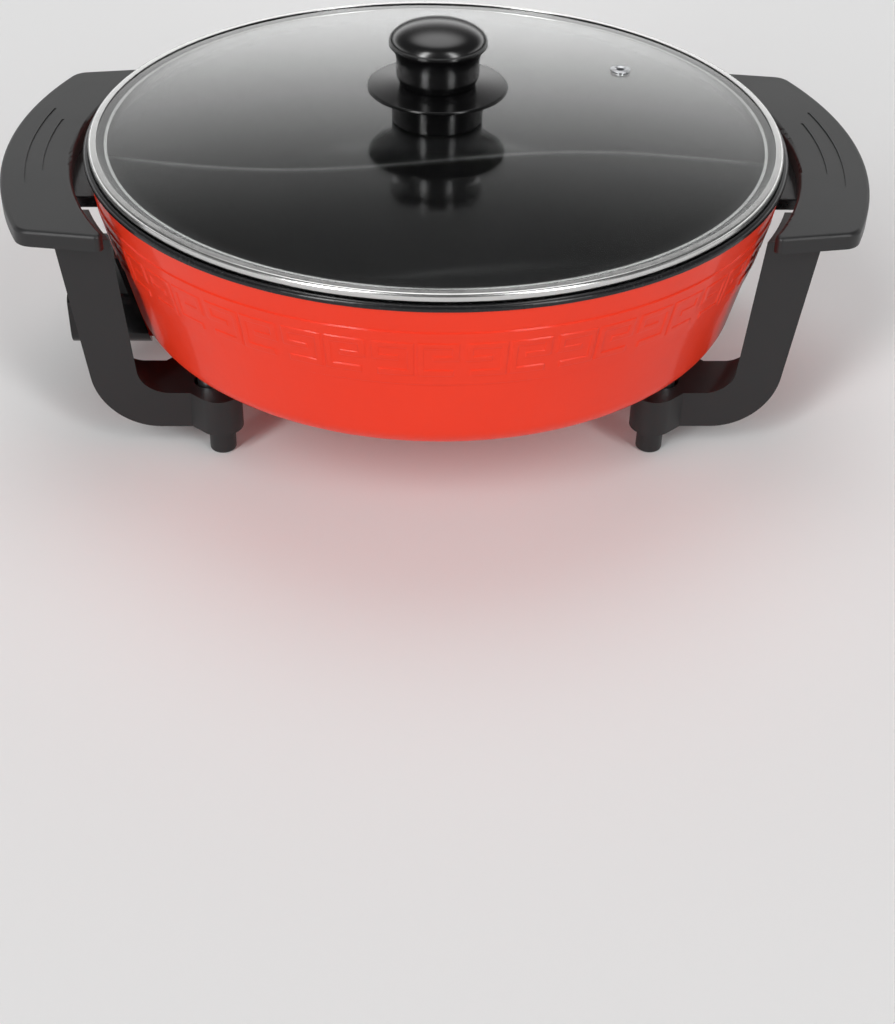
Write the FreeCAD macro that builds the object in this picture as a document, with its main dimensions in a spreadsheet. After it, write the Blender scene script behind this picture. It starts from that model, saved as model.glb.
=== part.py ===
import FreeCAD, Part
import Sketcher
import math
import os
from types import SimpleNamespace

# Electric hot pot with a lift-off glass lid, in millimetres.
# X runs from handle to handle, Y away from the front, Z up.
# The origin is on the table, under the centre of the pan.

os.makedirs("parts", exist_ok=True)
doc = FreeCAD.newDocument("electric_hot_pot")
Vector = FreeCAD.Vector
Rotation = FreeCAD.Rotation

# Driving sizes
values = {
    # Pan: one aluminium casting
    "pan_bottom": 45.0,
    "pan_base": 5.0,
    "pan_rim": 130.9,
    "pan_foot_radius": 152.6,
    "pan_heel_round": 14.0,
    "pan_shoulder_radius": 171.8,
    "pan_wall": 3.8,
    "pan_inner_round": 11.0,
    "bead_height": 3.0,
    "bead_step": 0.9,
    "relief_drop": 18.9,
    "relief_width": 25.0,
    "relief_rise": 0.7,
    # S-shaped divider, cast with the pan
    "divider_drop": 17.4,
    "divider_end": 17.8,
    "divider_swing": 11.0,
    "divider_thick": 3.0,
    "divider_draft": 0.8,
    # Ears that carry the handles
    "ear_thick": 6.0,
    "ear_setback": 15.6,
    "ear_half_width": 41.0,
    "ear_round": 9.0,
    # Ridge for the cast-in element, and the terminal block
    "ridge_radius": 95.0,
    "ridge_half_width": 7.0,
    "ridge_depth": 10.0,
    "element_radius": 4.0,
    "element_drop": 4.5,
    "element_bend": 12.0,
    "cast_gap": 0.1,
    "block_out": 1.4,
    "block_overlap": 3.0,
    "block_half_width": 31.5,
    "block_drop": 13.5,
    # Terminals, measured from the face of the block
    "pin_half_spacing": 20.0,
    "pin_neck_radius": 2.2,
    "pin_radius": 2.8,
    "pin_length": 24.0,
    "seal_length": 2.0,
    "earth_rise": 6.9,
    "earth_radius": 2.4,
    "earth_length": 19.0,
    "earth_depth": 12.0,
    "probe_drop": 3.1,
    "probe_radius": 4.0,
    "probe_bore": 3.1,
    "probe_length": 6.0,
    "probe_depth": 40.0,
    "probe_end": 2.0,
    # Inlet housing: a hood for the connector and a flange that follows the pan
    "hood_length": 32.0,
    "hood_half_width": 36.0,
    "hood_drop": 17.4,
    "hood_rise": 12.0,
    "hood_round": 9.0,
    "hood_wall": 2.6,
    "hood_seat": 4.0,
    "flange_rise": 34.0,
    "fixing_spacing": 27.4,
    "fixing_radius": 1.6,
    "fixing_head": 3.0,
    "fixing_head_height": 2.1,
    "fixing_length": 12.0,
    "pan_clearance": 0.5,
    # Handle plate
    "plate_drop": 7.7,
    "plate_thick": 8.0,
    "plate_gap": 7.2,
    "plate_depth": 33.6,
    "plate_overhang": 10.8,
    "plate_nose_setback": 29.0,
    "plate_taper": 8.8,
    "plate_corner_round": 10.0,
    "plate_inner_round": 3.0,
    "plate_edge_round": 2.0,
    "plate_wall": 3.0,
    "plate_skin": 3.0,
    "rib_thick": 2.4,
    "groove_outer_setback": 12.3,
    "groove_outer_half": 43.0,
    "groove_inner_setback": 20.7,
    "groove_inner_half": 29.6,
    "groove_width": 1.2,
    "groove_depth": 0.5,
    # Legs and arms: the inner side follows the pan
    "leg_front": 87.0,
    "leg_depth": 30.0,
    "leg_tuck": 1.9,
    "leg_reach": 52.8,
    "leg_gap_top": 5.4,
    "leg_gap_foot": 16.2,
    "leg_outer_round": 32.0,
    "leg_inner_round": 13.0,
    "leg_wall": 2.5,
    "leg_web": 3.0,
    "arm_top": 33.0,
    "arm_bottom": 13.5,
    "arm_beyond_post": 9.2,
    # Lobes, foot tube and posts
    "post_inset": 40.8,
    "post_set_in": 12.1,
    "post_radius": 6.5,
    "post_recess": 4.0,
    "recess_radius": 8.2,
    "recess_floor": 4.0,
    "foot_beside_post": 5.0,
    "foot_set_in": 2.0,
    "foot_lobe_radius": 10.8,
    "foot_radius": 6.5,
    "foot_bore": 4.4,
    "foot_bore_depth": 20.0,
    "foot_edge_round": 1.2,
    "back_lobe_beside_post": 12.2,
    "back_lobe_set_in": 22.0,
    "back_lobe_radius": 14.0,
    "lobe_wall": 2.3,
    "pip_radius": 4.3,
    "pip_height": 0.8,
    "pan_lug_radius": 8.0,
    "pan_lug_rise": 1.5,
    "stud_radius": 2.4,
    "stud_length": 3.6,
    # Screws and washers of the brackets
    "leg_screw_radius": 2.0,
    "leg_screw_length": 11.0,
    "leg_screw_head": 3.7,
    "leg_screw_head_height": 2.4,
    "leg_washer_radius": 4.5,
    "leg_washer_thick": 0.9,
    "ear_screw_in": 9.0,
    "ear_screw_along": 26.0,
    "ear_screw_radius": 2.0,
    "ear_screw_length": 11.0,
    "ear_screw_head": 3.8,
    "ear_screw_head_height": 2.5,
    "ear_boss_radius": 5.0,
    "screw_gap": 0.2,
    "seat_gap": 0.1,
    # Lid
    "lid_gap": 0.3,
    "lid_inset": 2.7,
    "band_sheet": 0.5,
    "band_curl": 4.0,
    "band_height": 4.0,
    "band_round": 1.4,
    "skirt_clearance": 6.8,
    "skirt_depth": 5.2,
    "glass_thick": 2.8,
    "glass_edge_gap": 0.3,
    "glass_edge_round": 0.8,
    "glass_rim": 10.0,
    "glass_rise": 3.2,
    "glass_hole": 3.6,
    "vent_across": 98.5,
    "vent_along": 67.0,
    "vent_hole": 3.4,
    "vent_bore": 2.0,
    "vent_flange": 5.4,
    "vent_flange_thick": 0.8,
    # Finger guard, measured up from the pane's crown, and the knob, up from the guard
    "gasket_radius": 18.6,
    "gasket_thick": 1.4,
    "collar_radius": 22.4,
    "collar_wall": 3.0,
    "guard_radius": 34.3,
    "guard_edge_rise": 16.9,
    "guard_edge_thick": 1.6,
    "guard_rise": 19.1,
    "guard_dish_radius": 17.0,
    "guard_under_rise": 13.2,
    "guard_post_radius": 7.0,
    "guard_roof": 3.0,
    "knob_foot_radius": 18.4,
    "knob_waist_radius": 20.2,
    "knob_waist_rise": 3.8,
    "knob_neck_rise": 11.0,
    "knob_neck_bow": 9.8,
    "knob_cap_radius": 23.8,
    "knob_lip_rise": 18.6,
    "knob_lip_round": 0.8,
    "knob_brow_rise": 20.0,
    "knob_brow_bow": 6.6,
    "knob_crown_radius": 16.5,
    "knob_crown_rise": 26.5,
    "knob_height": 29.1,
    "knob_screw_radius": 2.4,
    "knob_screw_bite": 12.0,
    "knob_screw_head": 4.8,
    "knob_screw_head_height": 3.0,
    "knob_washer_radius": 11.0,
    "knob_washer_thick": 1.2,
    # How far cutting tools run past what they cut, the small ones and the large ones
    "past": 1.0,
    "overrun": 60.0,
}

sheet = doc.addObject("Spreadsheet::Sheet", "Sizes")
for row, (name, value) in enumerate(values.items(), start=1):
    sheet.set(f"A{row}", name)
    sheet.set(f"B{row}", str(value))
    sheet.setAlias(f"B{row}", name)
doc.recompute()


class Size:
    """A length that knows both its number and the formula that ties it to the sheet."""

    def __init__(self, number, formula=None):
        self.number = float(number)
        self.formula = formula if formula else repr(self.number)

    def __add__(self, other):
        other = as_size(other)
        return Size(self.number + other.number, f"({self.formula} + {other.formula})")

    def __sub__(self, other):
        other = as_size(other)
        return Size(self.number - other.number, f"({self.formula} - {other.formula})")

    def __mul__(self, other):
        other = as_size(other)
        return Size(self.number * other.number, f"({self.formula} * {other.formula})")

    def __truediv__(self, other):
        other = as_size(other)
        return Size(self.number / other.number, f"({self.formula} / {other.formula})")

    def __neg__(self):
        return Size(-self.number, f"(0 - {self.formula})")

    def __radd__(self, other):
        return as_size(other) + self

    def __rsub__(self, other):
        return as_size(other) - self

    def __rmul__(self, other):
        return as_size(other) * self


def as_size(item):
    """A plain number counts as a size of its own."""
    return item if isinstance(item, Size) else Size(item)


def tangent(angle):
    """The tangent of an angle in degrees, as a size."""
    return Size(math.tan(math.radians(angle.number)), f"tan({angle.formula} * 1deg)")


size = SimpleNamespace(**{name: Size(value, f"Sizes.{name}") for name, value in values.items()})


def bind(item, **formulas):
    """Tie properties of an object to sizes; a double underscore stands for the dot in a path."""
    for path, length in formulas.items():
        item.setExpression(path.replace("__", "."), as_size(length).formula)
    return item


def place(item, x=0, y=0, z=0, turn=None):
    """Put an object at x, y, z, turned first if a rotation is given."""
    placement = FreeCAD.Placement(Vector(*(as_size(c).number for c in (x, y, z))), turn or Rotation())
    item.Placement = placement
    return bind(item, Placement__Base__x=x, Placement__Base__y=y, Placement__Base__z=z)


def labelled(item, label):
    """Give an object the name that its piece goes by."""
    item.Label = label
    return item


# Sketches
def new_body(name):
    """A body of its own."""
    return doc.addObject("PartDesign::Body", name)


def sketch_on(body, plane, name, lift=0):
    """A sketch on one of the body's own origin planes, moved off it by lift."""
    sketch = body.newObject("Sketcher::SketchObject", name)
    support = next(item for item in body.Origin.OriginFeatures if item.Role == plane)
    sketch.AttachmentSupport = (support, [""])
    sketch.MapMode = "FlatFace"
    sketch.AttachmentOffset = FreeCAD.Placement(Vector(0, 0, as_size(lift).number), Rotation())
    return bind(sketch, AttachmentOffset__Base__z=lift)


def pin_point(sketch, shape, end, x, y, name):
    """Hold one point of the sketch at x, y."""
    held = ((x, "DistanceX", -2, "across"), (y, "DistanceY", -1, "up"))
    for length, kind, axis, word in held:
        if as_size(length).formula == "0.0":
            sketch.addConstraint(Sketcher.Constraint("PointOnObject", shape, end, axis))
            continue
        number = sketch.addConstraint(Sketcher.Constraint(kind, -1, 1, shape, end, as_size(length).number))
        sketch.renameConstraint(number, f"{name}_{word}")
        sketch.setExpression(f"Constraints.{name}_{word}", as_size(length).formula)


def hold_radius(sketch, shape, radius, name):
    """Hold the radius of one arc or circle of the sketch."""
    number = sketch.addConstraint(Sketcher.Constraint("Radius", shape, radius.number))
    sketch.renameConstraint(number, name)
    sketch.setExpression(f"Constraints.{name}", radius.formula)


def arc_between(start, end, bow):
    """The arc of radius bow from start to end, and whether it runs anticlockwise."""
    radius = abs(bow)
    chord = end - start
    middle = (start + end) * 0.5
    rise = math.sqrt(max(radius * radius - chord.Length * chord.Length / 4, 0))
    side = Vector(-chord.y, chord.x, 0).normalize() * (1 if bow > 0 else -1)
    centre = middle + side * rise
    first, last = (start, end) if bow > 0 else (end, start)
    angles = [math.atan2(p.y - centre.y, p.x - centre.x) for p in (first, last)]
    circle = Part.Circle(centre, Vector(0, 0, 1), radius)
    return Part.ArcOfCircle(circle, *angles), bow > 0


def outline(sketch, corners):
    """Draw a closed outline from its corners, anticlockwise or clockwise.

    A corner is (x, y), (x, y, rounding) or (x, y, None, bow). The rounding is the radius of the arc
    that softens the corner. The bow is the radius of the arc from this corner to the next, positive
    where its centre lies to the left of the way.
    """
    corners = [tuple(corner) + (None,) * (4 - len(corner)) for corner in corners]
    points = [Vector(as_size(x).number, as_size(y).number, 0) for x, y, _, _ in corners]
    count = len(corners)
    leaving = []
    arriving = []
    rounds = []
    for i, (_, _, rounding, _) in enumerate(corners):
        here = points[i]
        if rounding is None:
            leaving.append(here)
            arriving.append(here)
            rounds.append(None)
            continue
        radius = as_size(rounding).number
        back = (points[i - 1] - here).normalize()
        ahead = (points[(i + 1) % count] - here).normalize()
        half = back.getAngle(ahead) / 2
        reach = radius / math.tan(half)
        centre = here + (back + ahead).normalize() * (radius / math.sin(half))
        arriving.append(here + back * reach)
        leaving.append(here + ahead * reach)
        left_turn = (-back).cross(ahead).z > 0
        ends = (arriving[i], leaving[i]) if left_turn else (leaving[i], arriving[i])
        angles = [math.atan2(p.y - centre.y, p.x - centre.x) for p in ends]
        circle = Part.Circle(centre, Vector(0, 0, 1), radius)
        rounds.append((Part.ArcOfCircle(circle, *angles), left_turn))
    sides = []
    for i, (_, _, _, bow) in enumerate(corners):
        ahead = (i + 1) % count
        if bow is None:
            sides.append((sketch.addGeometry(Part.LineSegment(leaving[i], arriving[ahead])), 1, 2))
            continue
        arc, onward = arc_between(leaving[i], arriving[ahead], as_size(bow).number)
        shape = sketch.addGeometry(arc)
        sides.append((shape, 1, 2) if onward else (shape, 2, 1))
        radius = as_size(bow) if as_size(bow).number > 0 else -as_size(bow)
        hold_radius(sketch, shape, radius, f"bow{i}")
    for i, (x, y, rounding, _) in enumerate(corners):
        before, _, before_end = sides[i - 1]
        after, after_start, _ = sides[i]
        if rounding is None:
            sketch.addConstraint(Sketcher.Constraint("Coincident", before, before_end, after, after_start))
            pin_point(sketch, after, after_start, x, y, f"corner{i}")
            continue
        arc, left_turn = rounds[i]
        shape = sketch.addGeometry(arc)
        first, last = (1, 2) if left_turn else (2, 1)
        sketch.addConstraint(Sketcher.Constraint("Tangent", before, before_end, shape, first))
        sketch.addConstraint(Sketcher.Constraint("Tangent", shape, last, after, after_start))
        hold_radius(sketch, shape, as_size(rounding), f"round{i}")
        mark = sketch.addGeometry(Part.Point(points[i]), True)
        pin_point(sketch, mark, 1, x, y, f"corner{i}")
        sketch.addConstraint(Sketcher.Constraint("PointOnObject", mark, 1, before))
        sketch.addConstraint(Sketcher.Constraint("PointOnObject", mark, 1, after))
    return sketch


def circle(sketch, x, y, radius, name="ring"):
    """Draw a circle about x, y."""
    centre = Vector(as_size(x).number, as_size(y).number, 0)
    shape = sketch.addGeometry(Part.Circle(centre, Vector(0, 0, 1), radius.number))
    pin_point(sketch, shape, 3, x, y, f"{name}_centre")
    hold_radius(sketch, shape, radius, f"{name}_radius")
    return sketch


# Solids
def pad(body, sketch, height, name, backwards=False):
    """Raise a sketch into a solid."""
    feature = body.newObject("PartDesign::Pad", name)
    feature.Profile = sketch
    feature.Reversed = backwards
    return bind(feature, Length=height)


def pocket(body, sketch, depth, name, upwards=False):
    """Sink a sketch into a solid."""
    doc.recompute()
    feature = body.newObject("PartDesign::Pocket", name)
    feature.Profile = sketch
    feature.Reversed = upwards
    return bind(feature, Length=depth)


def turned(name, corners, x=0, y=0, z=0):
    """A body turned about an upright axis at x, y from its half section, given as radius and height."""
    body = new_body(name)
    section = outline(sketch_on(body, "XZ_Plane", f"{name}_section"), corners)
    feature = body.newObject("PartDesign::Revolution", f"{name}_turned")
    feature.Profile = section
    feature.ReferenceAxis = (section, ["V_Axis"])
    feature.Angle = 360
    return place(body, x, y, z)


def column(name, radius, bottom, top, x=0, y=0):
    """An upright cylinder between two heights."""
    item = doc.addObject("Part::Cylinder", name)
    return place(bind(item, Radius=radius, Height=as_size(top) - bottom), x, y, bottom)


def spindle(name, radius, start, end, y, z):
    """A cylinder that lies along X, from start to end."""
    item = doc.addObject("Part::Cylinder", name)
    bind(item, Radius=radius, Height=as_size(end) - start)
    return place(item, start, y, z, Rotation(Vector(0, 1, 0), 90))


def block(name, x_range, y_range, z_range):
    """A box between pairs of limits."""
    item = doc.addObject("Part::Box", name)
    (x0, x1), (y0, y1), (z0, z1) = x_range, y_range, z_range
    bind(item, Length=as_size(x1) - x0, Width=as_size(y1) - y0, Height=as_size(z1) - z0)
    return place(item, x0, y0, z0)


def prism(name, corners, bottom, top):
    """An upright prism over a flat outline."""
    body = new_body(name)
    pad(body, outline(sketch_on(body, "XY_Plane", f"{name}_outline", bottom), corners),
        as_size(top) - bottom, f"{name}_pad")
    return body


def fused(name, *items):
    """One solid from several that meet."""
    item = doc.addObject("Part::MultiFuse", name)
    item.Shapes = list(items)
    item.Refine = True
    return item


def cut(name, base, *tools):
    """What is left of base once every tool has been taken out of it."""
    item = doc.addObject("Part::Cut", name)
    item.Base = base
    item.Tool = tools[0] if len(tools) == 1 else fused(f"{name}_tools", *tools)
    item.Refine = True
    return item


def common(name, first, second):
    """What two solids share."""
    item = doc.addObject("Part::MultiCommon", name)
    item.Shapes = [first, second]
    return item


def mirrored(name, source, normal):
    """The mirror image of a solid in a plane through the origin."""
    item = doc.addObject("Part::Mirroring", name)
    item.Source = source
    item.Base = Vector(0, 0, 0)
    item.Normal = normal
    return item


def group(name, items):
    """Several separate solids in one node."""
    item = doc.addObject("Part::Compound", name)
    item.Links = list(items)
    return labelled(item, name)


def at_four_corners(name, across, along, make):
    """The same piece at the four legs, made by a function of its name and place."""
    places = [(side, end) for side in (-1, 1) for end in (-1, 1)]
    return group(name, [make(f"{name}_{i}", across * side, along * end)
                        for i, (side, end) in enumerate(places)])


left = Vector(1, 0, 0)
front = Vector(0, 1, 0)

# Heights that follow from the pan
size.pan_floor = size.pan_bottom + size.pan_base
size.relief_high = size.pan_rim - size.relief_drop
size.relief_low = size.relief_high - size.relief_width
size.divider_top = size.pan_rim - size.divider_drop
size.ridge_bottom = size.pan_bottom - size.ridge_depth
size.element_height = size.pan_bottom - size.element_drop
size.block_bottom = size.pan_bottom - size.block_drop
size.earth_height = size.element_height + size.earth_rise
size.probe_height = size.element_height - size.probe_drop
size.hood_bottom = size.pan_bottom - size.hood_drop
size.hood_top = size.pan_bottom + size.hood_rise
size.flange_top = size.pan_bottom + size.flange_rise
size.plate_top = size.pan_rim - size.plate_drop
size.ear_top = size.plate_top - size.plate_thick - size.seat_gap

# Places that follow from the pan's radius
size.divider_span = size.pan_shoulder_radius - size.divider_end
size.plate_inner_radius = size.pan_shoulder_radius + size.plate_gap
size.plate_outer_radius = size.plate_inner_radius + size.plate_depth
size.plate_front_at = size.plate_inner_radius - size.plate_nose_setback
size.plate_front = size.leg_front + size.plate_overhang
size.groove_outer_radius = size.plate_outer_radius - size.groove_outer_setback
size.groove_inner_radius = size.plate_outer_radius - size.groove_inner_setback
size.ear_reach = size.plate_outer_radius - size.ear_setback
size.ear_screw_across = size.plate_inner_radius + size.ear_screw_in
size.block_face = size.pan_foot_radius + size.block_out
size.block_inner = size.ridge_radius + size.block_overlap
size.pin_reach = size.block_face + size.pin_length
size.earth_reach = size.block_face + size.earth_length
size.probe_reach = size.block_face + size.probe_length
size.hood_face = size.block_face + size.hood_length
size.hood_back = size.block_face + size.hood_seat

# Places that follow from the post
size.post_across = size.pan_foot_radius - size.post_inset
size.post_along = size.leg_front - size.post_set_in
size.foot_across = size.post_across - size.foot_beside_post
size.foot_along = size.leg_front - size.foot_set_in
size.back_lobe_across = size.post_across + size.back_lobe_beside_post
size.back_lobe_along = size.leg_front - size.back_lobe_set_in
size.arm_end = size.post_across + size.arm_beyond_post
size.leg_foot_outer = size.post_across + size.leg_reach
size.leg_top_outer = size.plate_inner_radius - size.leg_tuck

# Pan wall: the outside leans out from the foot to the shoulder under the bead
shoulder = size.pan_rim - size.bead_height
lean = (size.pan_shoulder_radius - size.pan_foot_radius) / (shoulder - size.pan_bottom)


def wall_radius(height, offset=0):
    """The outer radius of the pan at a height, moved out by offset."""
    return size.pan_foot_radius + lean * (as_size(height) - size.pan_bottom) + offset


def pan_shell():
    """The turned part of the casting: floor, leaning wall, raised relief band and rim bead."""
    inner = -size.pan_wall
    bead_radius = size.pan_shoulder_radius + size.bead_step
    return turned("pan_shell", [
        (0, size.pan_bottom),
        (size.pan_foot_radius, size.pan_bottom, size.pan_heel_round),
        (wall_radius(size.relief_low), size.relief_low),
        (wall_radius(size.relief_low, size.relief_rise), size.relief_low + size.relief_rise),
        (wall_radius(size.relief_high, size.relief_rise), size.relief_high - size.relief_rise),
        (wall_radius(size.relief_high), size.relief_high),
        (size.pan_shoulder_radius, shoulder),
        (bead_radius, shoulder + size.bead_step),
        (bead_radius, size.pan_rim, size.bead_step),
        (wall_radius(size.pan_rim, inner), size.pan_rim),
        (wall_radius(size.pan_floor, inner), size.pan_floor, size.pan_inner_round),
        (0, size.pan_floor),
    ])


def divider():
    """The S-shaped divider: two bows that run into each other at the centre, with a draft."""
    bow = (size.divider_span * size.divider_span / 4 + size.divider_swing * size.divider_swing) \
        / (2 * size.divider_swing)
    half = size.divider_span / 2
    reach = bow - size.divider_swing
    sweep = math.degrees(math.asin(half.number / bow.number))
    beyond = math.degrees(size.divider_thick.number / bow.number) * 3
    strips = []
    for side, turn in ((-1, 270 - sweep - beyond), (1, 90 - sweep)):
        rings = []
        for word, sense in (("outside", 1), ("inside", -1)):
            edge = bow + sense * size.divider_thick / 2
            cone = doc.addObject("Part::Cone", f"divider_{word}_{'left' if side < 0 else 'right'}")
            bind(cone, Radius1=edge + sense * size.divider_draft, Radius2=edge,
                 Height=size.divider_top - size.pan_floor + size.divider_draft)
            cone.Angle = 2 * sweep + beyond
            place(cone, half * side, -side * reach, size.pan_floor - size.divider_draft,
                  Rotation(Vector(0, 0, 1), turn))
            rings.append(cone)
        strips.append(cut(f"divider_{'left' if side < 0 else 'right'}", *rings))
    root = size.pan_floor - size.divider_draft
    middle = -size.pan_wall / 2
    core = turned("pan_core", [
        (0, root),
        (wall_radius(root, middle), root),
        (wall_radius(size.pan_rim, middle), size.pan_rim),
        (0, size.pan_rim),
    ])
    return common("divider", fused("divider_strips", *strips), core)


def ear(side):
    """One ear: a flat tab that runs out of the wall under the handle."""
    name = "ear_left" if side < 0 else "ear_right"
    root = size.pan_foot_radius
    half = size.ear_half_width
    return prism(name, [
        (root * side, -half),
        (size.ear_reach * side, -half, size.ear_round),
        (size.ear_reach * side, half, size.ear_round),
        (root * side, half),
    ], size.ear_top - size.ear_thick, size.ear_top)


def element_path():
    """The element's centre line: most of a ring, then two bends that lead it out to the left."""
    ring = size.ridge_radius.number
    bend = size.element_bend.number
    half = size.pin_half_spacing.number
    height = size.element_height.number
    reach = size.block_face.number + size.cast_gap.number
    # the bend touches the straight from outside and the ring from outside
    bend_y = half + bend
    bend_x = -math.sqrt((ring + bend) ** 2 - bend_y ** 2)
    touch = Vector(bend_x, bend_y, 0) * (ring / (ring + bend))
    turn_middle = (Vector(bend_x, half, 0) - Vector(bend_x, bend_y, 0)).normalize()
    toward_ring = (touch - Vector(bend_x, bend_y, 0)).normalize()
    between = Vector(bend_x, bend_y, 0) + (turn_middle + toward_ring).normalize() * bend
    lift = Vector(0, 0, height)
    down = Vector(0, -1, 0)

    def other(point):
        return Vector(point.x, -point.y, point.z)

    edges = [
        Part.LineSegment(Vector(-reach, half, 0) + lift, Vector(bend_x, half, 0) + lift).toShape(),
        Part.Arc(Vector(bend_x, half, 0) + lift, between + lift, touch + lift).toShape(),
        Part.Arc(touch + lift, Vector(ring, 0, 0) + lift, other(touch) + lift).toShape(),
        Part.Arc(other(touch) + lift, other(between) + lift, Vector(bend_x, -half, 0) + lift).toShape(),
        Part.LineSegment(Vector(bend_x, -half, 0) + lift, Vector(-reach, -half, 0) + lift).toShape(),
    ]
    return Part.Wire(edges)


def tube_along(path, radius):
    """A round bar along a path."""
    start = path.Edges[0].valueAt(path.Edges[0].FirstParameter)
    section = Part.Wire(Part.Circle(start, Vector(1, 0, 0), radius).toShape())
    return path.makePipeShell([section], True, False, 2)


def bar_feature(name, radius):
    """The element, or the space that the casting leaves for it."""
    item = doc.addObject("Part::Feature", name)
    item.Shape = tube_along(element_path(), radius)
    return item


def pan():
    """The whole casting: shell, divider, ears, post lugs, element ridge and terminal block."""
    ridge = turned("element_ridge", [
        (size.ridge_radius - size.ridge_half_width, size.ridge_bottom),
        (size.ridge_radius + size.ridge_half_width, size.ridge_bottom),
        (size.ridge_radius + size.ridge_half_width, size.pan_bottom + size.pan_wall / 2),
        (size.ridge_radius - size.ridge_half_width, size.pan_bottom + size.pan_wall / 2),
    ])
    terminal_block = block("terminal_block", (-size.block_face, -size.block_inner),
                           (-size.block_half_width, size.block_half_width),
                           (size.block_bottom, size.pan_bottom + size.pan_wall))
    lugs = at_four_corners("pan_lugs", size.post_across, size.post_along, lambda name, x, y: column(
        name, size.pan_lug_radius, size.pan_bottom - size.pan_lug_rise, size.pan_floor - size.past, x, y))
    tabs = [ear(-1), ear(1)]
    inside = turned("pan_inside", [
        (0, size.pan_floor),
        (wall_radius(size.pan_floor, -size.pan_wall), size.pan_floor, size.pan_inner_round),
        (wall_radius(size.pan_rim, -size.pan_wall), size.pan_rim),
        (0, size.pan_rim),
    ])
    lumps = fused("pan_lumps", *tabs, ridge, terminal_block, *lugs.Links)
    outside_work = cut("pan_outside_work", lumps, inside)
    doc.removeObject(lugs.Name)
    casting = fused("pan_casting", pan_shell(), outside_work, divider())
    bores = [bar_feature("element_space", size.element_radius.number + size.cast_gap.number)]
    for side in (-1, 1):
        word = "left" if side < 0 else "right"
        for end in (-1, 1):
            bores.append(column(f"ear_hole_{word}_{'front' if end < 0 else 'rear'}",
                                size.ear_screw_radius + size.screw_gap,
                                size.ear_top - size.ear_thick - size.past, size.ear_top + size.past,
                                size.ear_screw_across * side, size.ear_screw_along * end))
            bores.append(column(f"stud_hole_{word}_{'front' if end < 0 else 'rear'}",
                                size.stud_radius + size.seat_gap,
                                size.pan_bottom - size.pan_lug_rise - size.past,
                                size.pan_bottom - size.pan_lug_rise + size.stud_length + size.seat_gap,
                                size.post_across * side, size.post_along * end))
    face = -size.block_face
    bores.append(spindle("probe_hole", size.probe_radius + size.seat_gap, face - size.past,
                         face + size.probe_depth + size.seat_gap, 0, size.probe_height))
    bores.append(spindle("earth_hole", size.earth_radius + size.seat_gap, face - size.past,
                         face + size.earth_depth + size.seat_gap, 0, size.earth_height))
    for end in (-1, 1):
        bores.append(spindle(f"housing_screw_hole_{'front' if end < 0 else 'rear'}",
                             size.fixing_radius + size.seat_gap, face - size.past,
                             face + size.fixing_length, size.fixing_spacing * end,
                             size.element_height))
    return labelled(cut("pan", casting, *bores), "pan")


def terminals():
    """What comes out of the terminal block: the element's pins, their seals, earth pin and probe sleeve."""
    labelled(bar_feature("heating_element", size.element_radius.number), "heating_element")
    start = -(size.block_face + size.cast_gap)
    step = -(size.hood_back + size.hood_wall + size.screw_gap * 2)
    height = size.element_height
    pins = []
    seals = []
    for end in (-1, 1):
        word = "front" if end < 0 else "rear"
        y = size.pin_half_spacing * end
        neck = spindle(f"power_pin_neck_{word}", size.pin_neck_radius, step, start, y, height)
        shank = spindle(f"power_pin_shank_{word}", size.pin_radius, -size.pin_reach, step, y, height)
        tip = doc.addObject("Part::Sphere", f"power_pin_tip_{word}")
        place(bind(tip, Radius=size.pin_radius), -size.pin_reach, y, height)
        pins.append(fused(f"power_pin_{word}", neck, shank, tip))
        ring = spindle(f"seal_ring_{word}", size.element_radius, start - size.seal_length,
                       start - size.seat_gap, y, height)
        bore = spindle(f"seal_bore_{word}", size.pin_neck_radius + size.seat_gap,
                       start - size.seal_length - size.past, start + size.past, y, height)
        seals.append(cut(f"pin_seal_{word}", ring, bore))
    group("power_pins", pins)
    group("pin_seals", seals)
    shank = spindle("earth_pin_shank", size.earth_radius, -size.earth_reach,
                    -size.block_face + size.earth_depth, 0, size.earth_height)
    tip = doc.addObject("Part::Sphere", "earth_pin_tip")
    place(bind(tip, Radius=size.earth_radius), -size.earth_reach, 0, size.earth_height)
    labelled(fused("earth_pin", shank, tip), "earth_pin")
    sleeve = spindle("probe_sleeve_outside", size.probe_radius, -size.probe_reach,
                     -size.block_face + size.probe_depth, 0, size.probe_height)
    bore = spindle("probe_sleeve_bore", size.probe_bore, -size.probe_reach - size.past,
                   -size.block_face + size.probe_depth - size.probe_end, 0, size.probe_height)
    labelled(cut("probe_sleeve", sleeve, bore), "probe_sleeve")


def hood_outline(body, name, x, inset):
    """The hood's rounded outline on a plane across X, its sides drawn in by inset."""
    half = size.hood_half_width - inset
    low = size.hood_bottom + inset
    high = size.hood_top - inset
    soft = size.hood_round - inset
    return outline(sketch_on(body, "YZ_Plane", name, x), [
        (-half, low, soft),
        (half, low, soft),
        (half, high, soft / 2),
        (-half, high, soft / 2),
    ])


def pan_saddle(name, gap):
    """The leaning cone of the pan's wall, moved out by gap, for pieces that follow it."""
    low = size.hood_bottom - size.past
    high = size.flange_top + size.past
    return turned(name, [
        (0, low),
        (wall_radius(low, gap), low),
        (wall_radius(high, gap), high),
        (0, high),
    ])


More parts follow.
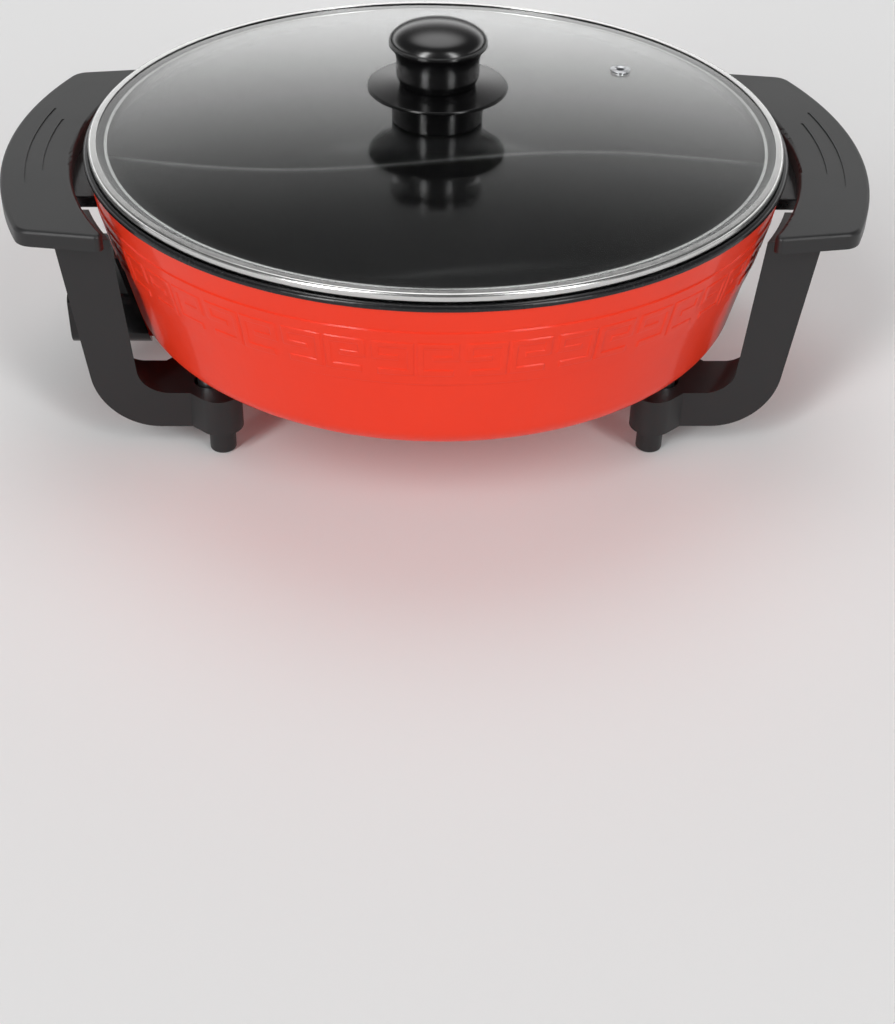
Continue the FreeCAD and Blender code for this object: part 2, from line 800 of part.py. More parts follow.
def inlet_housing():
    """The hood round the terminals with its mouth and back wall, and the flange that follows the pan."""
    wall = size.hood_wall
    overlap = size.hood_round * 2
    hood = new_body("hood")
    pad(hood, hood_outline(hood, "hood_outline", -size.hood_face, as_size(0)),
        size.hood_length + overlap, "hood_pad")
    mouth = new_body("hood_mouth")
    pad(mouth, hood_outline(mouth, "mouth_outline", -size.hood_face - size.past, wall),
        size.hood_face - size.hood_back - wall + size.past, "mouth_pad")
    rear = new_body("hood_rear")
    pad(rear, hood_outline(rear, "rear_outline", -size.hood_back, wall), overlap * 2, "rear_pad")
    flange_block = block("flange_block", (-size.hood_face, -size.pan_foot_radius + overlap),
                         (-size.hood_half_width, size.hood_half_width),
                         (size.hood_top - size.hood_round, size.flange_top))
    flange = common("hood_flange", flange_block, pan_saddle("flange_skin", size.pan_clearance + wall))
    back = (-size.hood_face + wall, -size.hood_back + wall)
    holes = []
    for end in (-1, 1):
        word = "front" if end < 0 else "rear"
        holes.append(spindle(f"hood_pin_hole_{word}", size.element_radius + size.screw_gap, *back,
                             size.pin_half_spacing * end, size.element_height))
        holes.append(spindle(f"hood_fixing_hole_{word}", size.fixing_radius + size.screw_gap, *back,
                             size.fixing_spacing * end, size.element_height))
    holes.append(spindle("hood_probe_hole", size.probe_radius + size.screw_gap, *back, 0, size.probe_height))
    holes.append(spindle("hood_earth_hole", size.earth_radius + size.screw_gap, *back, 0, size.earth_height))
    labelled(cut("inlet_housing", fused("hood_and_flange", hood, flange), mouth, rear,
                 pan_saddle("hood_saddle", size.pan_clearance), *holes), "inlet_housing")
    screws = []
    for end in (-1, 1):
        word = "front" if end < 0 else "rear"
        y = size.fixing_spacing * end
        seat = -size.hood_back - wall - size.seat_gap
        head = spindle(f"housing_screw_head_{word}", size.fixing_head,
                       seat - size.fixing_head_height, seat, y, size.element_height)
        shank = spindle(f"housing_screw_shank_{word}", size.fixing_radius, seat,
                        -size.block_face + size.fixing_length - size.past, y, size.element_height)
        screws.append(fused(f"housing_screw_{word}", head, shank))
    group("housing_screws", screws)


# Handle bracket, modelled as its front right quarter of the pot and mirrored
def plate_slab(name, bottom, top, inset):
    """The front half of the handle plate between two heights, its sides drawn in by inset."""
    body = new_body(name)
    slope = tangent(size.plate_taper)
    nose = size.plate_front - inset
    far = size.plate_outer_radius + size.plate_corner_round
    near = size.plate_front_at - size.plate_depth
    shape = sketch_on(body, "XY_Plane", f"{name}_sides", bottom)
    outline(shape, [
        (near, 0),
        (near, -(nose + slope * (size.plate_front_at - near))),
        (far, -(nose - slope * (far - size.plate_front_at))),
        (far, 0),
    ])
    height = as_size(top) - bottom
    pad(body, shape, height, f"{name}_pad")
    inside = circle(sketch_on(body, "XY_Plane", f"{name}_inner_arc", bottom), 0, 0,
                    size.plate_inner_radius + inset)
    pocket(body, inside, height, f"{name}_inner_cut", upwards=True)
    outside = sketch_on(body, "XY_Plane", f"{name}_outer_arc", bottom)
    circle(outside, 0, 0, size.plate_outer_radius - inset, "edge")
    circle(outside, 0, 0, size.plate_outer_radius + size.overrun, "clear")
    pocket(body, outside, height, f"{name}_outer_cut", upwards=True)
    return body


def soften(body, name, radius, wanted):
    """Round the edges of a body that a test picks."""
    doc.recompute()
    base = body.Tip
    picked = [f"Edge{i}" for i, edge in enumerate(base.Shape.Edges, start=1) if wanted(edge)]
    feature = body.newObject("PartDesign::Fillet", name)
    feature.Base = (base, picked)
    bind(feature, Radius=radius)
    return feature


def upright_at(edge, lowest_radius, highest_radius):
    """Whether an edge stands upright, away from the mirror plane, at a radius within limits."""
    ends = [vertex.Point for vertex in edge.Vertexes]
    if len(ends) != 2 or abs(ends[0].z - ends[1].z) < 1:
        return False
    radius = math.hypot(ends[0].x, ends[0].y)
    return ends[0].y < -1 and lowest_radius < radius < highest_radius


def handle_plate():
    """The grip plate: softened outer corner and edges, hollow below, with cross ribs and screw bosses."""
    top = size.plate_top
    bottom = size.plate_top - size.plate_thick
    slab = plate_slab("plate", bottom, top, as_size(0))
    middle = (size.plate_inner_radius.number + size.plate_outer_radius.number) / 2
    soften(slab, "plate_corner", size.plate_corner_round, lambda e: upright_at(e, middle, 999))
    soften(slab, "plate_inner_corner", size.plate_inner_round, lambda e: upright_at(e, 0, middle))
    top_height = top.number

    def on_rim(edge):
        ends = [vertex.Point for vertex in edge.Vertexes]
        level = all(abs(p.z - top_height) < 0.01 for p in ends)
        return level and not all(abs(p.y) < 0.01 for p in ends)

    soften(slab, "plate_edge", size.plate_edge_round, on_rim)
    hollow = plate_slab("plate_hollow", bottom - size.past, top - size.plate_skin, size.plate_wall)
    below = bottom - size.past * 2
    beside_ear = size.ear_half_width + size.rib_thick
    across = (size.plate_inner_radius - size.overrun, size.plate_outer_radius + size.past)
    ribs = [block(f"plate_rib_{i}", across,
                  (-(y + size.rib_thick / 2), -(y - size.rib_thick / 2)), (below, top))
            for i, y in enumerate((as_size(0), beside_ear, size.leg_front - size.leg_depth))]
    boss = column("plate_boss", size.ear_boss_radius, below, top, size.ear_screw_across,
                  -size.ear_screw_along)
    space = cut("plate_space", hollow, *ribs, boss)
    return cut("plate_shell", slab, space)


def leg_outline():
    """Leg and arm seen from the front: only the outer side is shaped here, the pan's side is cut later."""
    top = size.plate_top - size.plate_thick + size.past
    return [
        (size.leg_top_outer, top),
        (size.leg_foot_outer, size.arm_bottom, size.leg_outer_round),
        (size.arm_end, size.arm_bottom),
        (size.arm_end, top),
    ]


def channel_outline():
    """The hollow of leg and arm seen from the front, open to the outside and below."""
    top = size.plate_top - size.plate_thick
    beyond = size.leg_top_outer + size.leg_depth
    low = size.arm_bottom - size.leg_web
    end = size.arm_end - size.leg_web
    return [(beyond, top), (beyond, low), (end, low), (end, top)]


def pan_side(name, web):
    """The space on the pan's side of legs and arms, turned about the pot's axis and grown by web."""
    top = size.plate_top - size.plate_thick + size.past
    floor = size.arm_top - web
    return turned(name, [
        (0, floor),
        (size.pan_foot_radius + size.leg_gap_foot + web, floor, size.leg_inner_round + web),
        (wall_radius(top, size.leg_gap_top) + web, top),
        (0, top),
    ])


def side_slab(name, corners, near, far):
    """A slab with an outline seen from the front, between two distances in front of the centre."""
    body = new_body(name)
    shape = outline(sketch_on(body, "XZ_Plane", f"{name}_outline", far), corners)
    pad(body, shape, as_size(near) - far, f"{name}_pad")
    return body


def lobe_hull(name, inset, bottom, top):
    """The plan of the foot end: a round lobe about the foot, a larger one behind it, joined by flats."""
    foot_radius = size.foot_lobe_radius - inset
    back_radius = size.back_lobe_radius - inset
    fx, fy = size.foot_across, -size.foot_along
    bx, by = size.back_lobe_across, -size.back_lobe_along
    dx = bx - fx
    dy = by - fy
    reach = Size(math.hypot(dx.number, dy.number), f"sqrt({dx.formula}^2 + {dy.formula}^2)")
    swing = (back_radius - foot_radius) / reach
    bearing = f"atan2({dy.formula}; {dx.formula})"
    lead = f"acos({swing.formula})"
    angle = math.atan2(dy.number, dx.number) + math.acos(swing.number)
    out_x = Size(math.cos(angle), f"cos({bearing} + {lead})")
    out_y = Size(math.sin(angle), f"sin({bearing} + {lead})")
    # the front flat runs from the arm's corner to touch the foot lobe
    cx = size.arm_end
    cy = -(size.leg_front - inset)
    ex = cx - fx
    ey = cy - fy
    away = Size(math.hypot(ex.number, ey.number), f"sqrt({ex.formula}^2 + {ey.formula}^2)")
    share = foot_radius / away
    bearing = f"atan2({ey.formula}; {ex.formula})"
    lead = f"acos({share.formula})"
    angle = math.atan2(ey.number, ex.number) - math.acos(share.number)
    touch_x = Size(math.cos(angle), f"cos({bearing} - {lead})")
    touch_y = Size(math.sin(angle), f"sin({bearing} - {lead})")
    web = prism(f"{name}_web", [
        (fx, fy),
        (fx + foot_radius * touch_x, fy + foot_radius * touch_y),
        (cx, cy),
        (bx, by),
        (bx + back_radius * out_x, by + back_radius * out_y),
        (fx + foot_radius * out_x, fy + foot_radius * out_y),
    ], bottom, top)
    foot = column(f"{name}_foot", foot_radius, bottom, top, fx, fy)
    back = column(f"{name}_back", back_radius, bottom, top, bx, by)
    return fused(name, web, foot, back)


def half_bracket():
    """Front half of the right bracket: plate, channel leg, arm, lobes, foot tube and post recess."""
    rear = size.leg_front - size.leg_depth
    solid = cut("leg_solid", side_slab("leg_slab", leg_outline(), size.leg_front, rear),
                pan_side("leg_pan_side", as_size(0)))
    channel = cut("leg_channel", side_slab("channel_slab", channel_outline(), size.leg_front - size.leg_wall,
                                           rear + size.leg_wall),
                  pan_side("web_pan_side", size.leg_web))
    lobes = lobe_hull("lobes", as_size(0), size.arm_bottom, size.arm_top)
    lobe_space = lobe_hull("lobe_space", size.lobe_wall, size.arm_bottom - size.past,
                           size.arm_top - size.leg_web)
    px, py = size.post_across, -size.post_along
    fx, fy = size.foot_across, -size.foot_along
    bx, by = size.back_lobe_across, -size.back_lobe_along
    seat = size.arm_top - size.post_recess - size.recess_floor
    shell = cut("bracket_shell", fused("bracket_outside", handle_plate(), solid, lobes), channel, lobe_space)
    pad_under_post = column("recess_pad", size.recess_radius + size.lobe_wall, seat, size.arm_top, px, py)
    pip = column("lobe_pip", size.pip_radius, size.arm_top - size.leg_web - size.pip_height,
                 size.arm_top - size.past, bx, by)
    tube = turned("foot_tube", [
        (0, 0),
        (size.foot_radius, 0, size.foot_edge_round),
        (size.foot_radius, size.arm_top - size.past),
        (0, size.arm_top - size.past),
    ], fx, fy)
    whole = fused("bracket_whole", shell, common("recess_pad_trimmed", pad_under_post, lobes), pip, tube)
    recess = column("post_recess", size.recess_radius, size.arm_top - size.post_recess,
                    size.arm_top + size.past, px, py)
    screw_hole = column("post_screw_hole", size.leg_screw_radius + size.screw_gap, seat - size.past,
                        size.arm_top, px, py)
    bore = column("foot_bore", size.foot_bore, -size.past, size.foot_bore_depth, fx, fy)
    pilot = column("plate_pilot", size.ear_screw_radius + size.seat_gap,
                   size.plate_top - size.plate_thick - size.past * 3,
                   size.plate_top - size.plate_skin + size.past, size.ear_screw_across, -size.ear_screw_along)
    return cut("bracket_half", whole, recess, screw_hole, bore, pilot)


def finger_line(name, radius, half_length):
    """One fine line in the top of the plate, an arc about the pot's axis."""
    sweep = 2 * math.degrees(math.asin(half_length.number / radius.number))
    rings = []
    for word, sense in (("outside", 1), ("inside", -1)):
        ring = doc.addObject("Part::Cylinder", f"{name}_{word}")
        bind(ring, Radius=radius + sense * size.groove_width / 2, Height=size.groove_depth + size.past)
        ring.Angle = sweep
        place(ring, 0, 0, size.plate_top - size.groove_depth, Rotation(Vector(0, 0, 1), -sweep / 2))
        rings.append(ring)
    return cut(name, *rings)


def brackets():
    """The right bracket from its two halves, and the left one as its mirror image."""
    half = half_bracket()
    both = fused("bracket_both", half, mirrored("bracket_rear_half", half, front))
    lines = [finger_line("finger_line_outer", size.groove_outer_radius, size.groove_outer_half),
             finger_line("finger_line_inner", size.groove_inner_radius, size.groove_inner_half)]
    right_bracket = labelled(cut("handle_bracket_right", both, *lines), "handle_bracket_right")
    labelled(mirrored("handle_bracket_left", right_bracket, left), "handle_bracket_left")


def stand_off(name, x, y):
    """One post between arm and pan, with a stud above and a screw bore below."""
    bottom = size.arm_top - size.post_recess + size.seat_gap
    top = size.pan_bottom - size.pan_lug_rise
    bore = size.leg_screw_radius + size.seat_gap
    depth = bottom + size.leg_screw_length - size.recess_floor
    return turned(name, [
        (bore, bottom),
        (size.post_radius, bottom),
        (size.post_radius, top),
        (size.stud_radius, top),
        (size.stud_radius, top + size.stud_length),
        (0, top + size.stud_length),
        (0, depth),
        (bore, depth),
    ], x, y)


# A screw's head narrows over its lower part
head_crown_share = 0.6
head_brim_share = 0.4


def leg_screw(name, x, y):
    """One screw that comes up through the arm into the post."""
    seat = size.arm_top - size.post_recess - size.recess_floor - size.seat_gap - size.leg_washer_thick
    head = size.leg_screw_head
    return turned(name, [
        (0, seat - size.leg_screw_head_height),
        (head * head_crown_share, seat - size.leg_screw_head_height),
        (head, seat - size.leg_screw_head_height * head_brim_share),
        (head, seat - size.seat_gap / 2),
        (size.leg_screw_radius, seat - size.seat_gap / 2),
        (size.leg_screw_radius, seat + size.leg_screw_length),
        (0, seat + size.leg_screw_length),
    ], x, y)


def leg_washer(name, x, y):
    """One flat washer under a leg screw."""
    top = size.arm_top - size.post_recess - size.recess_floor - size.seat_gap / 2
    bore = size.leg_screw_radius + size.screw_gap
    return turned(name, [
        (bore, top - size.leg_washer_thick),
        (size.leg_washer_radius, top - size.leg_washer_thick),
        (size.leg_washer_radius, top),
        (bore, top),
    ], x, y)


def ear_screw(name, x, y):
    """One screw that comes up through an ear into the handle plate."""
    seat = size.ear_top - size.ear_thick - size.seat_gap
    head = size.ear_screw_head
    return turned(name, [
        (0, seat - size.ear_screw_head_height),
        (head * head_crown_share, seat - size.ear_screw_head_height),
        (head, seat - size.ear_screw_head_height * head_brim_share),
        (head, seat),
        (size.ear_screw_radius, seat),
        (size.ear_screw_radius, seat + size.ear_screw_length),
        (0, seat + size.ear_screw_length),
    ], x, y)


# Lid: heights count from where its band rests over the rim
band_bottom = size.pan_rim + size.lid_gap
glass_under = band_bottom + size.band_sheet + size.seat_gap
glass_over = glass_under + size.glass_thick
crown = glass_over + size.glass_rise
size.lid_radius = size.pan_shoulder_radius + size.bead_step - size.lid_inset
size.glass_flat = size.lid_radius - size.glass_rim
size.skirt_radius = wall_radius(size.pan_rim, -size.pan_wall) - size.skirt_clearance - size.band_sheet
dome = (size.glass_flat * size.glass_flat + size.glass_rise * size.glass_rise) / (2 * size.glass_rise)


def lid_glass():
    """The tempered pane: flat edge, low dome, a hole for the knob screw and one for the vent."""
    edge = size.lid_radius - size.band_sheet - size.glass_edge_gap
    body = turned("lid_glass", [
        (size.glass_hole, crown - size.glass_thick, None, -dome),
        (size.glass_flat, glass_under),
        (edge, glass_under, size.glass_edge_round),
        (edge, glass_over, size.glass_edge_round),
        (size.glass_flat, glass_over, None, dome),
        (size.glass_hole, crown),
    ])
    hole = circle(sketch_on(body, "XY_Plane", "vent_hole_outline", glass_under - size.past),
                  size.vent_across, size.vent_along, size.vent_hole)
    pocket(body, hole, size.glass_thick + size.glass_rise + size.past * 2, "vent_hole_cut", upwards=True)
    labelled(body, "lid_glass")


def lid_band():
    """The steel band: a rolled edge round the pane, a lip below it and a skirt that drops into the pan."""
    t = size.band_sheet
    top = band_bottom + size.band_height
    labelled(turned("lid_band", [
        (size.skirt_radius, band_bottom - size.skirt_depth),
        (size.skirt_radius + t, band_bottom - size.skirt_depth),
        (size.skirt_radius + t, band_bottom),
        (size.lid_radius, band_bottom, size.band_round / 2),
        (size.lid_radius, top, size.band_round),
        (size.lid_radius - size.band_curl, top),
        (size.lid_radius - size.band_curl, top - t),
        (size.lid_radius - t, top - t, size.band_round - t),
        (size.lid_radius - t, band_bottom + t),
        (size.skirt_radius, band_bottom + t),
    ]), "lid_band")


def vent_eyelet():
    """The steam vent: a steel eyelet with a flange above and a rolled one below the pane."""
    away = math.hypot(size.vent_across.number, size.vent_along.number) / size.glass_flat.number
    share = Size(away * away, f"(({size.vent_across.formula}^2 + {size.vent_along.formula}^2)"
                              f" / {size.glass_flat.formula}^2)")
    over = glass_over + size.glass_rise * (1 - share) + size.seat_gap * 2
    under = over - size.glass_thick - size.seat_gap * 4
    thick = size.vent_flange_thick
    neck = size.vent_hole - size.seat_gap
    roll = size.vent_flange - thick
    labelled(turned("vent_eyelet", [
        (size.vent_bore, under - thick),
        (roll, under - thick),
        (roll, under),
        (neck, under),
        (neck, over),
        (size.vent_flange, over),
        (size.vent_flange, over + thick / 2),
        (size.vent_bore + thick, over + thick),
        (size.vent_bore, over + thick / 2),
    ], size.vent_across, size.vent_along), "vent_eyelet")


def knob_set():
    """Knob, finger guard, gasket, washer and screw, from the pane up."""
    seat = crown + size.seat_gap
    collar_bottom = seat + size.seat_gap
    recess_top = seat + size.gasket_thick + size.seat_gap
    hole = size.knob_screw_radius + size.screw_gap
    labelled(turned("knob_gasket", [
        (size.glass_hole, seat),
        (size.gasket_radius, seat),
        (size.gasket_radius, seat + size.gasket_thick),
        (size.glass_hole, seat + size.gasket_thick),
    ]), "knob_gasket")
    inner = size.collar_radius - size.collar_wall
    roof = crown + size.guard_under_rise
    edge = crown + size.guard_edge_rise
    top = crown + size.guard_rise
    lip = size.guard_edge_thick / 2
    labelled(turned("knob_guard", [
        (hole, recess_top),
        (size.guard_post_radius, recess_top),
        (size.guard_post_radius, roof - size.guard_roof),
        (inner, roof - size.guard_roof),
        (inner, collar_bottom),
        (size.collar_radius, collar_bottom, lip),
        (size.collar_radius, roof),
        (size.guard_radius, edge - lip, lip - size.seat_gap),
        (size.guard_radius, edge + lip, lip - size.seat_gap),
        (size.guard_dish_radius, top),
        (hole, top),
    ]), "knob_guard")
    foot = top + size.seat_gap
    crown_drop = size.knob_height - size.knob_crown_rise
    reach = size.knob_crown_radius
    crown_bow = (reach * reach + crown_drop * crown_drop) / (2 * crown_drop)
    shank = size.knob_screw_radius + size.seat_gap / 2
    labelled(turned("knob", [
        (shank, foot),
        (size.knob_foot_radius, foot),
        (size.knob_waist_radius, foot + size.knob_waist_rise),
        (size.knob_waist_radius, foot + size.knob_neck_rise, None, -size.knob_neck_bow),
        (size.knob_cap_radius, foot + size.knob_lip_rise, size.knob_lip_round),
        (size.knob_cap_radius, foot + size.knob_brow_rise, None, size.knob_brow_bow),
        (size.knob_crown_radius, foot + size.knob_crown_rise, None, crown_bow),
        (0, foot + size.knob_height),
        (0, foot + size.knob_screw_bite),
        (shank, foot + size.knob_screw_bite),
    ]), "knob")
    washer_top = crown - size.glass_thick - size.seat_gap
    labelled(turned("knob_washer", [
        (hole, washer_top - size.knob_washer_thick),
        (size.knob_washer_radius, washer_top - size.knob_washer_thick),
        (size.knob_washer_radius, washer_top),
        (hole, washer_top),
    ]), "knob_washer")
    head_top = washer_top - size.knob_washer_thick - size.seat_gap / 2
    labelled(turned("knob_screw", [
        (0, head_top - size.knob_screw_head_height),
        (size.knob_screw_head * head_crown_share, head_top - size.knob_screw_head_height),
        (size.knob_screw_head, head_top - size.knob_screw_head_height * head_brim_share),
        (size.knob_screw_head, head_top),
        (size.knob_screw_radius, head_top),
        (size.knob_screw_radius, foot + size.knob_screw_bite - size.past),
        (0, foot + size.knob_screw_bite - size.past),
    ]), "knob_screw")


pan()
terminals()
inlet_housing()
brackets()
at_four_corners("support_posts", size.post_across, size.post_along, stand_off)
at_four_corners("leg_screws", size.post_across, size.post_along, leg_screw)
at_four_corners("leg_washers", size.post_across, size.post_along, leg_washer)
at_four_corners("ear_screws", size.ear_screw_across, size.ear_screw_along, ear_screw)
lid_glass()
lid_band()
vent_eyelet()
knob_set()
doc.recompute()

nodes = [
    "pan", "heating_element", "power_pins", "pin_seals", "earth_pin", "probe_sleeve", "inlet_housing",
    "housing_screws", "handle_bracket_left", "handle_bracket_right", "support_posts", "leg_screws",
    "leg_washers", "ear_screws", "lid_glass", "lid_band", "vent_eyelet", "knob_gasket", "knob_guard",
    "knob", "knob_washer", "knob_screw",
]
for item in doc.Objects:
    if "Invalid" in item.State or "Error" in item.State:
        raise RuntimeError(f"{item.Label} did not build: {item.State}")
for name in nodes:
    found = doc.getObjectsByLabel(name)
    if len(found) != 1 or found[0].Shape.isNull() or not found[0].Shape.isValid():
        raise RuntimeError(f"{name} is missing or not a valid solid")
    print(name, "solids", len(found[0].Shape.Solids), "volume", round(found[0].Shape.Volume))
for name in nodes:
    doc.getObjectsByLabel(name)[0].Shape.exportStep(f"parts/{name}.step")
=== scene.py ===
# %% [markdown]
# # An electric hot pot with a glass lid
# This lesson dresses a packed set of solids, the frame, with fine surfaces and finishes. The solids already
# stand in the right place, in metres, so every new piece is worked out in that same frame: X runs from the
# inlet's handle to the other one, Y away from the front and Z up, with the origin on the table under the pan.

# %% Load the frame
import math

import bmesh
import bpy
import numpy as np
from mathutils import Matrix, Vector


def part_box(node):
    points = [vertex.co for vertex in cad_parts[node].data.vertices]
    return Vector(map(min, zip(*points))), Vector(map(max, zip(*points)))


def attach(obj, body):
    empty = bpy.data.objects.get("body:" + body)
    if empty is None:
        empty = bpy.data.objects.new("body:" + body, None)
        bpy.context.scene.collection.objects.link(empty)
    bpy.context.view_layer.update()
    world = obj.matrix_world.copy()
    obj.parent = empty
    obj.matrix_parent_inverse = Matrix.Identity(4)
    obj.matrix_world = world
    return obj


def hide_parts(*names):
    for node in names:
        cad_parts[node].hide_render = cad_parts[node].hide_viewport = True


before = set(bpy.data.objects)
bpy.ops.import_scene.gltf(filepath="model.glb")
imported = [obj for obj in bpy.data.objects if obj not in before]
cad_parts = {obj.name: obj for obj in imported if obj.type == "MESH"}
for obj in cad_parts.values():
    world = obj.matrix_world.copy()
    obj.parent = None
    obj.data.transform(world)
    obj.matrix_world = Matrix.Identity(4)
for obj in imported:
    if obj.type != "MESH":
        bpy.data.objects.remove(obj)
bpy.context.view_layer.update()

MM = 0.001

# %% [markdown]
# ## Camera
# The photograph looks down at the pot from the front. One could guess the camera by eye and nudge it, but
# here its place and turn were worked out from the rim, the lid's band, the handles and the feet, so the
# directions that it calls right and up are written down as they are, and the third follows from them.

# %% Camera
camera_data = bpy.data.cameras.new("camera")
camera_data.sensor_width = 36.0
camera_data.lens = 57.226
camera = bpy.data.objects.new("camera", camera_data)
camera_place = Vector((-0.02224, -0.75647, 0.47009))
camera_right = Vector((0.99943, -0.02800, 0.01866))
camera_up = Vector((0.00214, 0.60618, 0.79532))
turn = Matrix((camera_right, camera_up, camera_right.cross(camera_up))).transposed()
camera.matrix_world = Matrix.Translation(camera_place) @ turn.to_4x4()
bpy.context.scene.collection.objects.link(camera)
bpy.context.scene.camera = camera
print("camera", round(camera_place.length, 3), "m from the origin")

# %% [markdown]
# ## Shader maths as plain expressions
# A finish is a recipe such as "a little rougher where the grain is dark". Nodes could be wired one by one,
# but recipes read better as sums, so a socket is wrapped in a small class whose operators add Math nodes.

# %% A socket that can be calculated with
class Wire:
    """An output of a node tree; adding, multiplying and so on puts Math nodes behind it."""

    def __init__(self, finish, socket):
        self.finish = finish
        self.socket = socket

    def math(self, operation, *others):
        return self.finish.node("ShaderNodeMath", {"operation": operation}, {
            i: item for i, item in enumerate((self, *others))})

    def __add__(self, other):
        return self.math("ADD", other)

    def __radd__(self, other):
        return self.math("ADD", other)

    def __mul__(self, other):
        return self.math("MULTIPLY", other)

    def __rmul__(self, other):
        return self.math("MULTIPLY", other)

    def __sub__(self, other):
        return self.math("SUBTRACT", other)

    def __rsub__(self, other):
        return (self * -1.0).math("ADD", other)

    def smooth(self, low, high):
        """From 0 below low to 1 above high, with soft ends."""
        return self.finish.node("ShaderNodeMapRange", {"interpolation_type": "SMOOTHSTEP"}, {
            "Value": self, "From Min": low, "From Max": high})


class Finish:
    """A material, or the world, with one method that adds any node and sets or links its sockets."""

    def __init__(self, name, owner=None, **constants):
        self.item = owner or bpy.data.materials.new(name)
        self.item.use_nodes = True
        self.tree = self.item.node_tree
        self.shader = self.tree.nodes.get("Principled BSDF")
        for label, value in constants.items():
            self.shader.inputs[label.replace("_", " ")].default_value = value

    def feed(self, socket, value):
        if isinstance(value, Wire):
            self.tree.links.new(value.socket, socket)
        else:
            socket.default_value = value

    def node(self, kind, settings=None, inputs=None, output=0):
        """Add a node of a kind, apply its settings, then set or link its inputs; gives one output."""
        made = self.tree.nodes.new(kind)
        for label, value in (settings or {}).items():
            setattr(made, label, value)
        for label, value in (inputs or {}).items():
            self.feed(made.inputs[label], value)
        return Wire(self, made.outputs[output])

    def place(self, *stretch):
        """Where a point lies on the piece, in metres, stretched along each axis."""
        spot = self.node("ShaderNodeTexCoord", output="Object")
        return self.node("ShaderNodeMapping", inputs={"Vector": spot, "Scale": stretch or (1, 1, 1)})

    def noise(self, spot, scale, detail=2.0, roughness=0.5):
        return self.node("ShaderNodeTexNoise", inputs={
            "Vector": spot, "Scale": scale, "Detail": detail, "Roughness": roughness})

    def mix(self, share, first, second):
        """A colour between two colours; 6 and 7 are the colour inputs of a Mix node, 2 its colour output."""
        return self.node("ShaderNodeMix", {"data_type": "RGBA"}, {
            0: share, 6: first, 7: second}, output=2)

    def paint(self, **values):
        for label, value in values.items():
            self.feed(self.shader.inputs[label.replace("_", " ")], value)

    def bump(self, height, distance):
        self.paint(Normal=self.node("ShaderNodeBump", inputs={
            "Height": height, "Distance": distance, "Strength": 1.0}))


print("helpers for finishes are ready")

# %% [markdown]
# ## Glossy red enamel
# The outside of the casting is sprayed and baked, which leaves a glossy coat with a faint orange-peel
# ripple. A bump texture alone would look like plastic, so the red lies under a thin clear coat, the ripple
# is low and wide, and the colour drifts a little where the spray was thicker.

# %% Red enamel
def red_enamel():
    finish = Finish("red_enamel", Specular_IOR_Level=0.12, Coat_Weight=0.28, Coat_Roughness=0.08)
    spot = finish.place()
    drift = finish.noise(spot, 14.0)
    finish.paint(Base_Color=finish.mix(drift, (0.74, 0.034, 0.011, 1), (0.83, 0.043, 0.014, 1)))
    finish.paint(Roughness=0.36 + 0.12 * finish.noise(spot, 60.0))
    finish.bump(finish.noise(spot, 260.0, detail=1.0), 0.00006)
    return finish.item


red = red_enamel()
print("the outside of the pan has", red.name)

# %% [markdown]
# ## Non-stick coating
# The inside is a dark coating with fine mineral flakes. A flat black would swallow the light, so tiny
# Voronoi cells each get their own brightness and only the brightest few become flakes.

# %% Non-stick coating
def non_stick(name, roughness, flakes):
    finish = Finish(name, Specular_IOR_Level=0.3, Coat_Weight=0.12, Coat_Roughness=0.12)
    spot = finish.place()
    cells = finish.node("ShaderNodeTexVoronoi", inputs={"Vector": spot, "Scale": 1500.0}, output="Color")
    grey = finish.node("ShaderNodeSeparateColor", inputs={"Color": cells}, output=0)
    flake = grey.smooth(0.86, 0.97)
    cloud = finish.noise(spot, 30.0)
    finish.paint(Base_Color=finish.mix(flake * flakes, (0.010, 0.010, 0.011, 1), (0.30, 0.30, 0.31, 1)))
    finish.paint(Roughness=roughness - 0.1 * flake + 0.06 * cloud)
    finish.bump(finish.noise(spot, 900.0) + 0.6 * flake, 0.00003)
    return finish.item


coating = non_stick("non_stick_coating", 0.36, 0.12)
black_bead = non_stick("rim_coating", 0.16, 0.04)
print("the inside has", coating.name, "and the bead", black_bead.name)

# %% [markdown]
# ## Moulded plastics
# The handle brackets are moulded in a dark plastic with a spark-eroded satin skin, the knob, the guard and
# the inlet housing in polished black ones, and the seals in rubber. All use the same recipe with other
# numbers: a fine grain for the skin and a wide cloud for the sheen that handling leaves. The guard shines
# less than the knob, because its broad plate would otherwise mirror the whole backdrop.

# %% Plastics
def plastic(name, shade, roughness, grain_depth, shine=0.5):
    finish = Finish(name, Specular_IOR_Level=shine)
    spot = finish.place()
    grain = finish.noise(spot, 1400.0, detail=3.0, roughness=0.6)
    cloud = finish.noise(spot, 22.0)
    light = tuple(c * 1.25 for c in shade)
    finish.paint(Base_Color=finish.mix(cloud, (*shade, 1), (*light, 1)))
    finish.paint(Roughness=roughness + 0.08 * (cloud - 0.5) + 0.06 * (grain - 0.5))
    finish.bump(grain, grain_depth)
    return finish.item


satin_plastic = plastic("satin_plastic", (0.010, 0.010, 0.0105), 0.42, 0.00002)
gloss_plastic = plastic("gloss_plastic", (0.003, 0.003, 0.0032), 0.22, 0.000001, shine=0.8)
guard_plastic = plastic("guard_plastic", (0.003, 0.003, 0.0032), 0.17, 0.000001, shine=0.4)
inlet_plastic = plastic("inlet_plastic", (0.006, 0.006, 0.0065), 0.2, 0.000006)
rubber = plastic("seal_rubber", (0.02, 0.02, 0.02), 0.7, 0.00003)
mouldings = (satin_plastic, gloss_plastic, guard_plastic, inlet_plastic, rubber)
print("mouldings have", ", ".join(finish.name for finish in mouldings))

